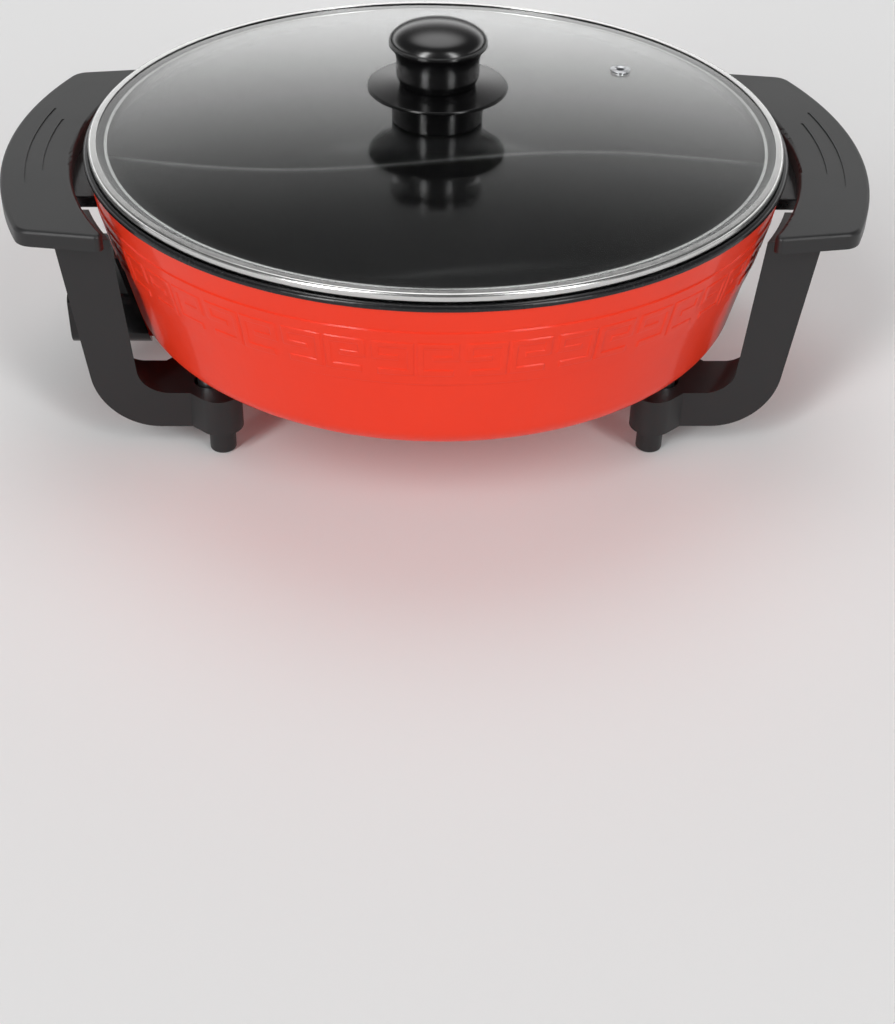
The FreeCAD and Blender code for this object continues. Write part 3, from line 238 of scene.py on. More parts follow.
# %% [markdown]
# ## Metals
# Steel and aluminium differ here by colour, by how rough they are and by the direction of their marks. The
# band was rolled and brushed along its length, so its grain is stretched round the lid; a turned post has
# fine rings; zinc-plated screws have a mottled bloom. The divider's top takes a pale dull metal, which is a
# painted highlight line. One recipe takes the stretch as an argument.

# %% Metals
mark_depth, mark_spread = 0.000004, 0.12


def metal(name, colour, roughness, stretch=(1, 1, 1), grain=800.0):
    finish = Finish(name, Metallic=1.0)
    marks = finish.noise(finish.place(*stretch), grain, detail=3.0, roughness=0.65)
    bloom = finish.noise(finish.place(), 90.0)
    dull = tuple(c * 0.78 for c in colour)
    finish.paint(Base_Color=finish.mix(0.7 * bloom + 0.3 * marks, (*dull, 1), (*colour, 1)))
    finish.paint(Roughness=roughness + mark_spread * (marks - 0.5) + 0.05 * bloom)
    finish.bump(marks, mark_depth)
    return finish.item


band_steel = metal("band_steel", (0.80, 0.80, 0.79), 0.2, (1, 1, 9), 420.0)
dark_metal = metal("post_metal", (0.62, 0.62, 0.63), 0.3, (1, 1, 14), 300.0)
zinc = metal("screw_zinc", (0.72, 0.73, 0.75), 0.3)
nickel = metal("pin_nickel", (0.76, 0.72, 0.65), 0.18)
raw_aluminium = metal("sleeve_aluminium", (0.78, 0.78, 0.79), 0.34)
heater_steel = metal("element_steel", (0.36, 0.34, 0.32), 0.38)
# A pale dull metal for the divider's top faces: a painted highlight line along its edge.
divider_highlight_metal = metal("divider_highlight_metal", (0.40, 0.40, 0.40), 0.42)
print(len(bpy.data.materials), "finishes so far")

# %% [markdown]
# ## Tempered glass
# The pane is clear with a breath of green. Glass is made of what it lets through, so transmission does the
# work; a film of fingerprints and fine dust shows only as a slight change of roughness.

# %% Glass
def pane_glass():
    finish = Finish("pane_glass", Transmission_Weight=1.0, IOR=1.5)
    finish.paint(Base_Color=(0.97, 0.985, 0.978, 1))
    film = finish.noise(finish.place(), 35.0, detail=3.0)
    finish.paint(Roughness=0.06 + 0.02 * film)
    return finish.item


clear_glass = pane_glass()
print("the pane has", clear_glass.name)

# %% [markdown]
# ## From corners to surfaces
# Most of the pot is turned, so its shapes are outlines carried round an axis. An outline is a short list of
# corners, each with its own rounding, as on a drawing. A corner could be bevelled later by a modifier, but
# then it would not know that one corner is sharp and the next one soft.

# %% Outlines with round corners
def rounded(corners, steps=6):
    """Points along a line of corners (r, z, rounding): each rounding is an arc that touches both sides.

    The arc starts and ends rounding / tan(half the inner angle) from the corner, and is drawn as points
    that turn evenly about its centre, which lies on the line that halves the angle.
    """
    flat = [np.array(c[:2], float) for c in corners]
    points = [flat[0]]
    for before, corner, after, entry in zip(flat, flat[1:], flat[2:], corners[1:]):
        rounding = entry[2] if len(entry) > 2 else 0
        back = (before - corner) / np.linalg.norm(before - corner)
        onward = (after - corner) / np.linalg.norm(after - corner)
        half = math.acos(np.clip(back @ onward, -1, 1)) / 2
        if not rounding or half > math.pi / 2 - 0.01:
            points.append(corner)
            continue
        reach = rounding / math.tan(half)
        middle = (back + onward) / np.linalg.norm(back + onward)
        centre = corner + middle * rounding / math.sin(half)
        start = corner + back * reach - centre
        end = corner + onward * reach - centre
        side = np.sign(start[0] * end[1] - start[1] * end[0])
        angles = np.linspace(0, math.pi - 2 * half, steps + 1) * side
        points += [centre + np.array((start[0] * math.cos(a) - start[1] * math.sin(a),
                                      start[0] * math.sin(a) + start[1] * math.cos(a))) for a in angles]
    points.append(flat[-1])
    return np.array(points)


def turned(profile, columns, x=0.0, y=0.0):
    """Each outline point (r, z), in millimetres, goes round the axis: (x + r sin a, y - r cos a, z)."""
    angle = np.arange(columns) / columns * math.tau
    r = profile[:, 0, None]
    z = np.broadcast_to(profile[:, 1, None], (len(profile), columns))
    return np.stack([x + r * np.sin(angle), y - r * np.cos(angle), z], axis=-1) * MM


def mesh_of(name, grid, closed_rows=False, caps=False):
    """A mesh from a grid of points (rows, columns, 3): four neighbours make a face, and columns close."""
    rows, columns = grid.shape[:2]
    index = np.arange(rows * columns).reshape(rows, columns)
    if closed_rows:
        index = np.vstack([index, index[:1]])
    side = np.roll(index, -1, axis=1)
    quads = np.stack([index[:-1], side[:-1], side[1:], index[1:]], axis=-1).reshape(-1, 4)
    faces = quads.tolist()
    if caps:
        faces += [index[0, ::-1].tolist(), index[-1].tolist()]
    mesh = bpy.data.meshes.new(name)
    mesh.from_pydata(grid.reshape(-1, 3), [], faces)
    return mesh


print("a rounded square corner has", len(rounded([(0, 0), (10, 0, 3), (10, 10)])), "points")

# %% [markdown]
# A finished piece is closed, faces outwards, is smooth except along true edges, and rides on the pot or
# the lid. Doing that in one place keeps every piece honest.

# %% Finish a piece
def fit_out(name, mesh, material, body, replaces, sharp=35.0, weighted=True):
    """Close a mesh, turn its faces outwards, mark its edges, and hang it on a body of the frame."""
    work = bmesh.new()
    work.from_mesh(mesh)
    bmesh.ops.remove_doubles(work, verts=work.verts, dist=1e-6)
    bmesh.ops.recalc_face_normals(work, faces=work.faces)
    if work.calc_volume(signed=True) < 0:
        bmesh.ops.reverse_faces(work, faces=work.faces)
    work.to_mesh(mesh)
    open_edges = sum(1 for edge in work.edges if not edge.is_manifold)
    work.free()
    mesh.shade_smooth()
    mesh.set_sharp_from_angle(angle=math.radians(sharp))
    if material:
        mesh.materials.clear()
        mesh.materials.append(material)
    piece = bpy.data.objects.new(name, mesh)
    bpy.context.scene.collection.objects.link(piece)
    if weighted:
        even = piece.modifiers.new("even_shading", "WEIGHTED_NORMAL")
        even.keep_sharp = True
    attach(piece, body)
    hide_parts(*replaces)
    print(name, len(mesh.polygons), "faces, open edges", open_edges)
    return piece


# %% [markdown]
# ## The casting's outline
# The pan is one casting: a flat floor, a wall that leans out to a shoulder, and a bead round the rim. The
# wall's radius is one straight line in height, and every other piece of the pan refers to it.

# %% Sizes of the pan, in millimetres
pan_bottom, pan_floor, wall_thick = 45.0, 50.0, 3.8
foot_radius, shoulder_radius, bead_height = 152.6, 171.8, 3.0
pan_rim = 130.9
shoulder = pan_rim - bead_height
bead_radius = shoulder_radius + 0.9


def wall_radius(height, offset=0.0):
    """The wall's outside at a height: foot radius plus its lean times the height over the pan's bottom."""
    above, whole = height - pan_bottom, shoulder - pan_bottom
    return foot_radius + (shoulder_radius - foot_radius) * above / whole + offset


print("the wall leans out", round(wall_radius(shoulder) - wall_radius(pan_bottom), 1), "mm")

# %% [markdown]
# ## The fret on the wall
# A raised band runs round the wall, and on it stands a traditional key fret: pairs of hooked bars, each
# pair mirrored about a fine gap. It could be carved with booleans, which is slow and leaves ragged faces, or
# faked with a bump map, which vanishes at the silhouette. Here the wall's grid has a row or column at each
# side of each bar's bevel, and a height function lifts the points, so the bars are real and the grid stays
# light.

# %% The fret's bars, in millimetres along the wall from a mirror line, and in height
fret_pairs = 26
mirror_line = math.radians(-18.15)
half_pitch = math.pi / fret_pairs
fret_height = 99.0
fret_radius = wall_radius(fret_height)
band_low, band_high, band_rise = 86.2, 116.8, 0.7
bar_rise, bevel = 0.5, 0.6
bars = {
    "top bar": ((0.45, 18.8), (107.6, 111.2)),
    "spine": ((0.45, 3.8), (91.8, 111.2)),
    "outer drop": ((15.2, 18.8), (100.4, 111.2)),
    "middle arm": ((6.9, 18.8), (100.4, 104.0)),
    "lower arm": ((0.45, 16.8), (91.8, 95.8)),
}
print(2 * fret_pairs, "units of", len(bars), "bars, each unit", round(half_pitch * fret_radius, 1), "mm wide")

# %% [markdown]
# Each bar has a top and sides that slope. The slope is one S-shaped ramp, and a bar is a product of ramps, so
# where two bars meet the higher one wins and no seam shows.

# %% Height of the fret
def ramp(value, start):
    """0 before start, 1 a bevel's width after it, with an S-shaped rise between."""
    t = np.clip((value - start) / bevel, 0, 1)
    return t * t * (3 - 2 * t)


def relief(along, height):
    """How far the wall stands out: the band's step, plus the highest of the bars over each point.

    A bar is the product of four ramps, one from each of its sides, so it rises with a bevel all round.
    """
    step = ramp(height, band_low) * (1 - ramp(height, band_high - bevel))
    lift = np.zeros(np.broadcast(along, height).shape)
    for (left, right), (low, high) in bars.values():
        bar = (ramp(along, left) * (1 - ramp(along, right - bevel))
               * ramp(height, low) * (1 - ramp(height, high - bevel)))
        lift = np.maximum(lift, bar)
    return band_rise * step + bar_rise * lift


print("a bar stands", round(float(relief(np.array(2.0), np.array(fret_height))), 2), "mm out of the wall")

# %% [markdown]
# A grid shows a bevel only where it has lines, so its rows and columns are placed at the bevels and nowhere
# else. An even grid as fine as that would have ten times the faces.

# %% Places of the grid's lines
closest = 0.05


def bevel_stops(spans, low, high):
    """Sorted places, from low to high, at the start, middle and end of each bevel."""
    stops = {low, high}
    for start, end in spans:
        stops |= {start, start + bevel / 2, start + bevel, end - bevel, end - bevel / 2, end}
    kept = sorted(stop for stop in stops if low <= stop <= high)
    return np.array([kept[0]] + [b for a, b in zip(kept, kept[1:]) if b - a > closest])


half_columns = bevel_stops([across for across, _ in bars.values()], 0.0, half_pitch * fret_radius)
pair = np.concatenate([-half_columns[:0:-1], half_columns[:-1]])
angles = (mirror_line + np.arange(fret_pairs)[:, None] * 2 * half_pitch + pair / fret_radius).ravel()
along_wall = np.tile(np.abs(pair), fret_pairs)
print(len(angles), "columns go round the wall,", len(half_columns), "places from a mirror line to the next")

# %% [markdown]
# ## The pan
# The whole shell is one closed surface, from the middle of its underside out over the heel, up the wall,
# over the bead and down the inside to the middle of the floor. It could be an outer skin with a Solidify
# modifier, but the wall, the floor and the bead differ in thickness, so the outline goes all the way round.

# %% Outline of the pan, outside
heel_round, heel_steps = 14.0, 10
below_band = band_low - 1
wall_rows = bevel_stops(
    [height for _, height in bars.values()] + [(band_low, band_high)], band_low, band_high)
outer = rounded([
    (0, pan_bottom), (foot_radius, pan_bottom, heel_round),
    (wall_radius(below_band), below_band)], heel_steps)
under = np.array([[r, pan_bottom] for r in (0.0, 40.0, 85.0, 105.0, 130.0)])
wall = np.array([[wall_radius(z), z] for z in wall_rows])
neck = np.array([[wall_radius(z), z] for z in (band_high + 1, 122.0, shoulder - 0.4, shoulder)])
print(len(under) + len(outer) + len(wall) + len(neck) - 1, "rows outside,", len(wall), "on the fret")

# %% Outline of the pan, bead and inside
bead_flat, lip_high, inner_high = 2.3, pan_rim - 1.2, 120.0
inner_round, floor_edge = 11.0, 120.0
inner_top = (wall_radius(inner_high, -wall_thick), inner_high)
bead = rounded([
    (shoulder_radius, shoulder), (bead_radius, shoulder + 0.6, 0.5), (bead_radius, pan_rim, 1.3),
    (bead_radius - bead_flat, pan_rim, 0.8),
    (wall_radius(lip_high, -wall_thick), lip_high, 1.0), inner_top], 4)
inside = rounded([
    inner_top, (wall_radius(pan_floor, -wall_thick), pan_floor, inner_round), (floor_edge, pan_floor)], 8)
floor_rows = np.array([[r, pan_floor] for r in (80.0, 40.0, 0.0)])
profile = np.vstack([under, outer[1:], wall, neck, bead[1:], inside[1:], floor_rows])
print("the whole outline has", len(profile), "points")

# %% [markdown]
# Only the rows on the wall are lifted by the fret. The enamel covers the outside and the coating begins at
# the bead, so each face takes one of three finishes by its row.

# %% Shell of the pan
wall_start = len(under) + len(outer) - 1
wall_end = wall_start + len(wall)
bead_start = wall_end + len(neck)
bead_end = bead_start + len(bead) - 2

radius = np.repeat(profile[:, :1], len(angles), axis=1)
radius[wall_start:wall_end] += relief(along_wall[None, :], wall_rows[:, None])
height = np.repeat(profile[:, 1:], len(angles), axis=1)
shell_grid = np.stack([radius * np.sin(angles), -radius * np.cos(angles), height], axis=-1) * MM
shell = mesh_of("pan_shell", shell_grid)
for material in (red, black_bead, coating):
    shell.materials.append(material)
rows = np.repeat(np.arange(len(profile) - 1), len(angles))
finish_of = np.select([rows < bead_start - 1, rows < bead_end], [0, 1], 2)
shell.polygons.foreach_set("material_index", finish_of.astype(np.int32))
fit_out("pan_shell", shell, None, "pot", ["pan"], sharp=40.0)

# %% [markdown]
# ## The S-shaped divider
# A thin wall of the same casting parts the pan in two. Its plan is one wave of a sine, it leans by a degree
# for the mould and it runs into the floor with a fillet. Extruding a curve would give it no fillet, so its
# cross-section is carried along the wave, each point offset along the wave's normal. The highest faces take
# a pale dull metal, a painted highlight that draws the top edge as a fine pale line.

# %% Section of the divider
divider_top, divider_span, divider_swing = 113.5, 154.0, 11.0
half_top, half_root, root_fillet, top_round = 1.5, 2.3, 4.5, 1.1
root = pan_floor - 0.4
side = rounded([(half_root + root_fillet, root), (half_root, root, root_fillet),
                (half_top, divider_top, top_round), (0, divider_top)], 6)
section = np.vstack([side, side[-2::-1] * (-1, 1)])
print("the divider's section has", len(section), "points and stands", divider_top - pan_floor, "mm tall")

# %% Divider
divider_places, highlight_depth = 221, 0.14
share = np.linspace(-1, 1, divider_places)[:, None]
reach = wall_radius(np.maximum(section[:, 1], pan_floor), -wall_thick * 0.5)
x = share * reach
y = divider_swing * np.sin(math.pi * x / divider_span)
slope = divider_swing * math.pi / divider_span * np.cos(math.pi * x / divider_span)
length = np.sqrt(1 + slope ** 2)
divider_grid = np.stack([x - section[:, 0] * slope / length, y + section[:, 0] / length,
                         np.broadcast_to(section[:, 1], x.shape)], axis=-1) * MM
divider = mesh_of("divider", divider_grid, caps=True)
for material in (coating, divider_highlight_metal):
    divider.materials.append(material)
# The highest faces of the divider take the pale metal, a painted highlight line along its top.
on_top = section[:, 1] > divider_top - highlight_depth
highlight_faces = np.append(np.tile(on_top & np.roll(on_top, -1), len(share) - 1), [False, False])
divider.polygons.foreach_set("material_index", highlight_faces.astype(np.int32))
fit_out("divider", divider, None, "pot", ["pan"])

# %% [markdown]
# ## What stands on the casting
# Ears carry the handles, a ring-shaped ridge under the floor holds the element, lugs take the posts and a
# block takes the terminals. An ear or a block is a plan outline raised between two heights; a plain extrusion
# would have razor edges, so the outline is drawn in by the bevel at its top and bottom.

# %% Slabs with bevelled edges
def slab(name, plan, low, high, edge):
    """A plan outline (x, y) between two heights: near both ends it draws in by edge, on a quarter round.

    Each point moves along the mean of the normals of its two sides.
    """
    plan = np.asarray(plan)
    ahead = np.roll(plan, -1, axis=0) - plan
    normal = np.stack([ahead[:, 1], -ahead[:, 0]], axis=1) / np.linalg.norm(ahead, axis=1)[:, None]
    out = normal + np.roll(normal, 1, axis=0)
    out /= np.maximum((out ** 2).sum(1)[:, None] / 2, 0.2)
    turns = np.linspace(0, math.pi / 2, 4)
    inset = np.concatenate([edge * (1 - np.sin(turns)), edge * (1 - np.sin(turns[::-1]))])
    heights = np.concatenate([low + edge * (1 - np.cos(turns)), high - edge * (1 - np.cos(turns[::-1]))])
    rings = plan[None] - out[None] * inset[:, None, None]
    grid = np.concatenate([rings, np.broadcast_to(heights[:, None, None], (*rings.shape[:2], 1))], axis=2)
    return mesh_of(name, grid * MM, caps=True)


def closed_plan(corners, steps=8):
    """A closed outline with round corners: the corners are walked once, starting halfway along a side."""
    first, last = np.array(corners[0][:2], float), np.array(corners[-1][:2], float)
    start = (first + last) / 2
    return rounded([tuple(start), *corners, tuple(start)], steps)[:-1]


slab_edge = 0.8
print("slabs have edges rounded to", slab_edge, "mm")

# %% [markdown]
# An ear is a flat tongue that reaches out under the handle plate. Its inner edge follows the wall on an arc
# that stays within the wall's thickness; a straight edge would come out on the inside of the pan.

# %% Ears
ear_top, ear_thick, ear_reach, ear_half, ear_round = 115.1, 6.0, 197.0, 41.0, 9.0
ear_root = 166.2
root_turn = np.linspace(1, -1, 15)[:-1] * math.asin(ear_half / ear_root)
root_arc = np.stack([ear_root * np.cos(root_turn), ear_root * np.sin(root_turn)], axis=1)
for side_name, sign in (("left", -1), ("right", 1)):
    corners = [(root_arc[0, 0] * sign, -ear_half * sign), (ear_reach * sign, -ear_half * sign, ear_round),
               (ear_reach * sign, ear_half * sign, ear_round), *map(tuple, root_arc * sign)]
    ear = slab(f"ear_{side_name}", closed_plan(corners), ear_top - ear_thick, ear_top, slab_edge)
    fit_out(f"ear_{side_name}", ear, black_bead, "pot", ["pan"])

# %% [markdown]
# The ridge and the lugs are turned shapes with a slight draft, so that the casting leaves its mould. They run
# one millimetre up into the pan's floor, where their open ends are out of sight.

# %% Ridge, terminal block and lugs
sunk = pan_bottom + 1
ridge_low, ridge_inner, ridge_outer, ridge_draft, ridge_round = 35.0, 88.0, 102.0, 1.0, 1.2
ridge_profile = rounded([
    (ridge_inner - ridge_draft, sunk), (ridge_inner, ridge_low, ridge_round),
    (ridge_outer, ridge_low, ridge_round), (ridge_outer + ridge_draft, sunk)])
ridge = mesh_of("element_ridge", turned(ridge_profile, 192))
fit_out("element_ridge", ridge, red, "pot", ["pan"])

block_far, block_near, block_half, block_round = -154.0, -98.0, 31.5, 2.0
block_low, block_high = 31.5, 48.0
block_plan = closed_plan([
    (block_far, block_half, block_round), (block_far, -block_half, block_round),
    (block_near, -block_half, block_round), (block_near, block_half, block_round)], 4)
block = slab("terminal_block", block_plan, block_low, block_high, slab_edge)
fit_out("terminal_block", block, red, "pot", ["pan"])

four = ((-1, -1), (1, -1), (1, 1), (-1, 1))
post_across, post_along = 111.8, 74.9
lug_root, lug_radius, lug_low = 8.6, 8.0, 43.5
lug_profile = rounded([(lug_root, sunk), (lug_radius, lug_low, 0.8), (0, lug_low)], 4)
for i, (sx, sy) in enumerate(four):
    lug = mesh_of(f"post_lug_{i}", turned(lug_profile, 40, post_across * sx, post_along * sy))
    fit_out(f"post_lug_{i}", lug, red, "pot", ["pan"])

# %% [markdown]
# ## Copies of the solids
# The brackets and the housing already have the right shape, but their meshes are loose triangles with
# hard edges. A copy is merged, its flat areas are joined into single faces, and a Bevel modifier then finds
# real edges only. The copy replaces the node, which stays as it is.

# %% Dressed copies
flat_within, edge_from, edge_steps = math.radians(0.4), math.radians(30), 2


def dressed(node, material, body, width):
    """A merged copy of a node, with its flat areas joined and its real edges rounded to a width in mm."""
    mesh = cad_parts[node].data.copy()
    work = bmesh.new()
    work.from_mesh(mesh)
    bmesh.ops.remove_doubles(work, verts=work.verts, dist=5e-6)
    bmesh.ops.dissolve_limit(work, angle_limit=flat_within, verts=work.verts, edges=work.edges)
    work.to_mesh(mesh)
    work.free()
    piece = fit_out(f"{node}_dressed", mesh, material, body, [node], sharp=30.0, weighted=False)
    rounding = piece.modifiers.new("edge_rounding", "BEVEL")
    rounding.width = width * MM
    rounding.segments = edge_steps
    rounding.limit_method = "ANGLE"
    rounding.angle_limit = edge_from
    even = piece.modifiers.new("even_shading", "WEIGHTED_NORMAL")
    even.keep_sharp = False
    return piece


dressed("handle_bracket_left", satin_plastic, "pot", 0.5)
dressed("handle_bracket_right", satin_plastic, "pot", 0.5)
dressed("inlet_housing", inlet_plastic, "pot", 0.4)
dressed("support_posts", dark_metal, "pot", 0.3)
dressed("heating_element", heater_steel, "pot", 0.2)
dressed("power_pins", nickel, "pot", 0.2)
dressed("earth_pin", nickel, "pot", 0.2)
dressed("pin_seals", rubber, "pot", 0.2)
dressed("probe_sleeve", raw_aluminium, "pot", 0.2)
dressed("leg_washers", zinc, "pot", 0.12)
dressed("knob_gasket", rubber, "lid", 0.2)
dressed("knob_washer", band_steel, "lid", 0.15)

# %% [markdown]
# ## Screws with a cross recess
# The inset picture shows one of the screws of the feet: zinc plated, with a cross recess. The recess is
# small, but it is what tells the eye that a disc is a screw. Two crossed tapered wedges are subtracted from
# a copy of each group of screws, all at once.

# %% A tapered slot
mouth_level, mouth_taper, tip_taper = -0.6, 1.1, 0.45
slot_width, slot_depth = 0.28, 0.75


def wedge(place, axis, reach):
    """Eight corners of a slot from just outside a head down to its depth, shorter at the tip.

    A corner is the place, plus its reach across the head times the taper, plus the slot's half width.
    """
    across = Vector((0, 0, 1)) if abs(axis.z) < 0.5 else Vector((1, 0, 0))
    beside = axis.cross(across)
    corners = []
    for level, taper in ((mouth_level, mouth_taper), (reach * slot_depth, tip_taper)):
        for u, v in four:
            corners.append(place + (across * u * reach * taper + beside * v * (reach * slot_width)
                                    + axis * level) * MM)
    return corners


slot_faces = ((3, 2, 1, 0), (4, 5, 6, 7), (0, 1, 5, 4), (1, 2, 6, 5), (2, 3, 7, 6), (3, 0, 4, 7))
print("a slot has", len(slot_faces), "faces")

# %% A group of screws
def screws(node, body, heads, axis, reach):
    """A dressed copy of a group of screws with a cross cut into each head, given the heads' faces."""
    piece = dressed(node, zinc, body, 0.15)
    work = bmesh.new()
    for place in heads:
        hub = Vector(place) * MM
        for quarter in (0, 1):
            spin = Matrix.Rotation(quarter * math.pi / 2, 4, axis)
            made = [work.verts.new(hub + spin @ (corner - hub)) for corner in wedge(hub, axis, reach)]
            for face in slot_faces:
                work.faces.new([made[i] for i in face])
    bmesh.ops.recalc_face_normals(work, faces=work.faces)
    mesh = bpy.data.meshes.new("recess_tool")
    work.to_mesh(mesh)
    work.free()
    tool = bpy.data.objects.new("recess_tool", mesh)
    bpy.context.scene.collection.objects.link(tool)
    cut = piece.modifiers.new("recess", "BOOLEAN")
    cut.operation = "DIFFERENCE"
    cut.solver = "EXACT"
    cut.use_self = True
    cut.object = tool
    piece.modifiers.move(len(piece.modifiers) - 1, 0)
    shown = piece.evaluated_get(bpy.context.evaluated_depsgraph_get())
    piece.data = bpy.data.meshes.new_from_object(shown)
    piece.modifiers.clear()
    bpy.data.objects.remove(tool)
    print(node, "with", len(heads), "cross recesses:", len(piece.data.polygons), "faces")
    return piece


print("screws are ready to be cut")

# %% Screws
up, inward = Vector((0, 0, 1)), Vector((1, 0, 0))
ear_across, ear_along = 188.0, 26.0
fixing_along, fixing_height = 27.4, 40.5
leg_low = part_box("leg_screws")[0].z / MM
ear_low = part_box("ear_screws")[0].z / MM
knob_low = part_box("knob_screw")[0].z / MM
fixing_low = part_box("housing_screws")[0].x / MM
screws("leg_screws", "pot", [(post_across * a, post_along * b, leg_low) for a, b in four], up, 1.5)
screws("ear_screws", "pot", [(ear_across * a, ear_along * b, ear_low) for a, b in four], up, 1.6)
screws("knob_screw", "lid", [(0, 0, knob_low)], up, 2.0)
screws("housing_screws", "pot", [
    (fixing_low, fixing_along * b, fixing_height) for b in (-1, 1)], inward, 1.6)

# %% [markdown]
# ## The lid's pane
# The pane is a low dome of tempered glass with a flat edge. The dome is an arc of a very large circle, so
# its outline is worked out from its rise, and a hole for the steam vent is cut through at the end.

# %% Dome of the pane
glass_edge, glass_flat, glass_rise, glass_thick = 169.2, 160.0, 3.2, 2.8
glass_under, glass_round, knob_bore = 131.8, 1.0, 3.6
dome_radius = (glass_flat ** 2 + glass_rise ** 2) / (2 * glass_rise)


def dome(radius, base):
    """Height of the dome over a base: the circle's height at a radius, less its height at the flat's edge."""
    return base + np.sqrt(dome_radius ** 2 - radius ** 2) - math.sqrt(dome_radius ** 2 - glass_flat ** 2)


print("the dome is part of a circle of", round(dome_radius / 1000, 1), "m")

# %% Pane
glass_top = glass_under + glass_thick
steps = np.linspace(knob_bore, glass_flat, 40)
edge = rounded([(glass_flat, glass_under), (glass_edge, glass_under, glass_round),
                (glass_edge, glass_top, glass_round), (glass_flat, glass_top)], 5)
lower = np.stack([steps, dome(steps, glass_under)], axis=1)
upper = np.stack([steps, dome(steps, glass_top)], axis=1)[::-1]
pane_mesh = mesh_of("pane", turned(np.vstack([lower, edge[1:-1], upper]), 240), closed_rows=True)
pane = fit_out("pane", pane_mesh, clear_glass, "lid", ["lid_glass"],
               sharp=60.0, weighted=False)

# %% The pane's vent hole
vent, vent_bore = (98.5, 67.0), 3.4
plug_low, plug_high = 120.0, 145.0
plug = bpy.data.objects.new("vent_plug", mesh_of("vent_plug", turned(
    np.array([(vent_bore, plug_low), (vent_bore, plug_high)]), 48, *vent), caps=True))
bpy.context.scene.collection.objects.link(plug)
cut = pane.modifiers.new("vent_hole", "BOOLEAN")
cut.operation = "DIFFERENCE"
cut.solver = "EXACT"
cut.object = plug
pane.data = bpy.data.meshes.new_from_object(pane.evaluated_get(bpy.context.evaluated_depsgraph_get()))
pane.modifiers.clear()
bpy.data.objects.remove(plug)
print("pane with its vent hole:", len(pane.data.polygons), "faces")

# %% [markdown]
# ## The lid's band and vent
# A strip of steel is rolled round the edge of the pane: a rounded outside, a curl over the glass, a lip
# below and a skirt that drops into the pan. One outline does it all, drawn with the sheet's thickness. The
# faces on which the pane lies take the rubber's dark finish, which shows through the glass as a grey ring.

# %% Band
lid_radius, band_low_edge, band_top = 170.0, 131.2, 135.2
skirt, sheet, skirt_low, curl, seal_gap, band_columns = 160.7, 0.5, 126.0, 4.0, 1.6, 360
bed = band_low_edge + sheet
band_profile = rounded([
    (skirt, skirt_low, 0.2), (skirt + sheet, skirt_low, 0.2), (skirt + sheet, band_low_edge, 0.4),
    (lid_radius, band_low_edge, 0.9), (lid_radius, band_top, 1.5), (lid_radius - curl, band_top, 0.22),
    (lid_radius - curl, band_top - sheet, 0.22), (lid_radius - sheet, band_top - sheet, 1.0),
    (lid_radius - sheet, bed, 0.4), (skirt + seal_gap, bed), (skirt, bed, 0.4), (skirt, skirt_low, 0.2)], 6)
ring = mesh_of("lid_band_ring", turned(band_profile[:-1], band_columns), closed_rows=True)
ring.materials.append(band_steel)
ring.materials.append(rubber)
corner_r, corner_z = band_profile[:-1].T
under_glass = (corner_z > band_low_edge) & (corner_z < band_top - 2) & (corner_r > skirt + 1.2)
inner = under_glass & (corner_r < lid_radius - 0.3)
# The lip's faces under the pane take the dark rubber finish, seen through the glass as a grey ring.
dark_lip_faces = np.repeat(inner & np.roll(inner, -1), band_columns)
ring.polygons.foreach_set("material_index", dark_lip_faces.astype(np.int32))
fit_out("lid_band_ring", ring, None, "lid", ["lid_band"])

# %% [markdown]
# The vent is a small eyelet pressed into the hole, so that steam leaves through a metal bore and not past an
# edge of glass. It is turned too, with a flange above the pane and a rolled collar below.

# %% Eyelet
vent_low, vent_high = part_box("vent_eyelet")[0].z / MM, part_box("vent_eyelet")[1].z / MM
steam_bore, shank, collar, flange = 2.0, 3.3, 4.6, 5.4
rolled = 0.8
eyelet_profile = rounded([
    (steam_bore, vent_low, 0.3), (collar, vent_low, 0.3), (collar, vent_low + rolled, 0.3),
    (shank, vent_low + rolled), (shank, vent_high - rolled), (flange, vent_high - rolled, 0.2),
    (flange, vent_high - 0.4, 0.3), (3.2, vent_high, 0.5), (steam_bore, vent_high - 0.5, 0.3),
    (steam_bore, vent_low, 0.3)], 4)
eyelet = mesh_of("vent_eyelet_ring", turned(eyelet_profile[:-1], 64, *vent), closed_rows=True)
fit_out("vent_eyelet_ring", eyelet, zinc, "lid", ["vent_eyelet"])

# %% [markdown]
# ## Knob and finger guard
# Both are moulded in polished black plastic. The guard keeps fingers off the steam and hot glass; the knob
# has a narrow foot, a straight waist and a domed cap. Highlights run along such shapes, so the cap is a
# half ellipse rather than a stack of arcs, and the throat under it is an arc that leaves the waist smoothly.

# %% Guard
crown = glass_under + glass_thick + glass_rise
guard_top, roof, roof_thick = crown + 19.1, crown + 13.2, 3.0
screw_bore, hub_radius, hub_low = 2.6, 7.0, crown + 1.6
guard_inner, guard_outer, guard_low = 19.4, 22.4, crown + 0.2
rim_radius, rim_low, rim_high, plate_turn = 34.3, crown + 16.1, crown + 17.7, 17.0
guard_profile = rounded([
    (screw_bore, hub_low), (hub_radius, hub_low, 0.4), (hub_radius, roof - roof_thick, 0.6),
    (guard_inner, roof - roof_thick, 0.6), (guard_inner, guard_low, 0.5), (guard_outer, guard_low, 0.8),
    (guard_outer, roof, 0.8), (rim_radius, rim_low, 0.7), (rim_radius, rim_high, 0.8),
    (plate_turn, guard_top, 9.0), (screw_bore, guard_top)], 6)
guard = mesh_of("knob_guard_turned", turned(guard_profile, 160), closed_rows=True)
fit_out("knob_guard_turned", guard, guard_plastic, "lid", ["knob_guard"])

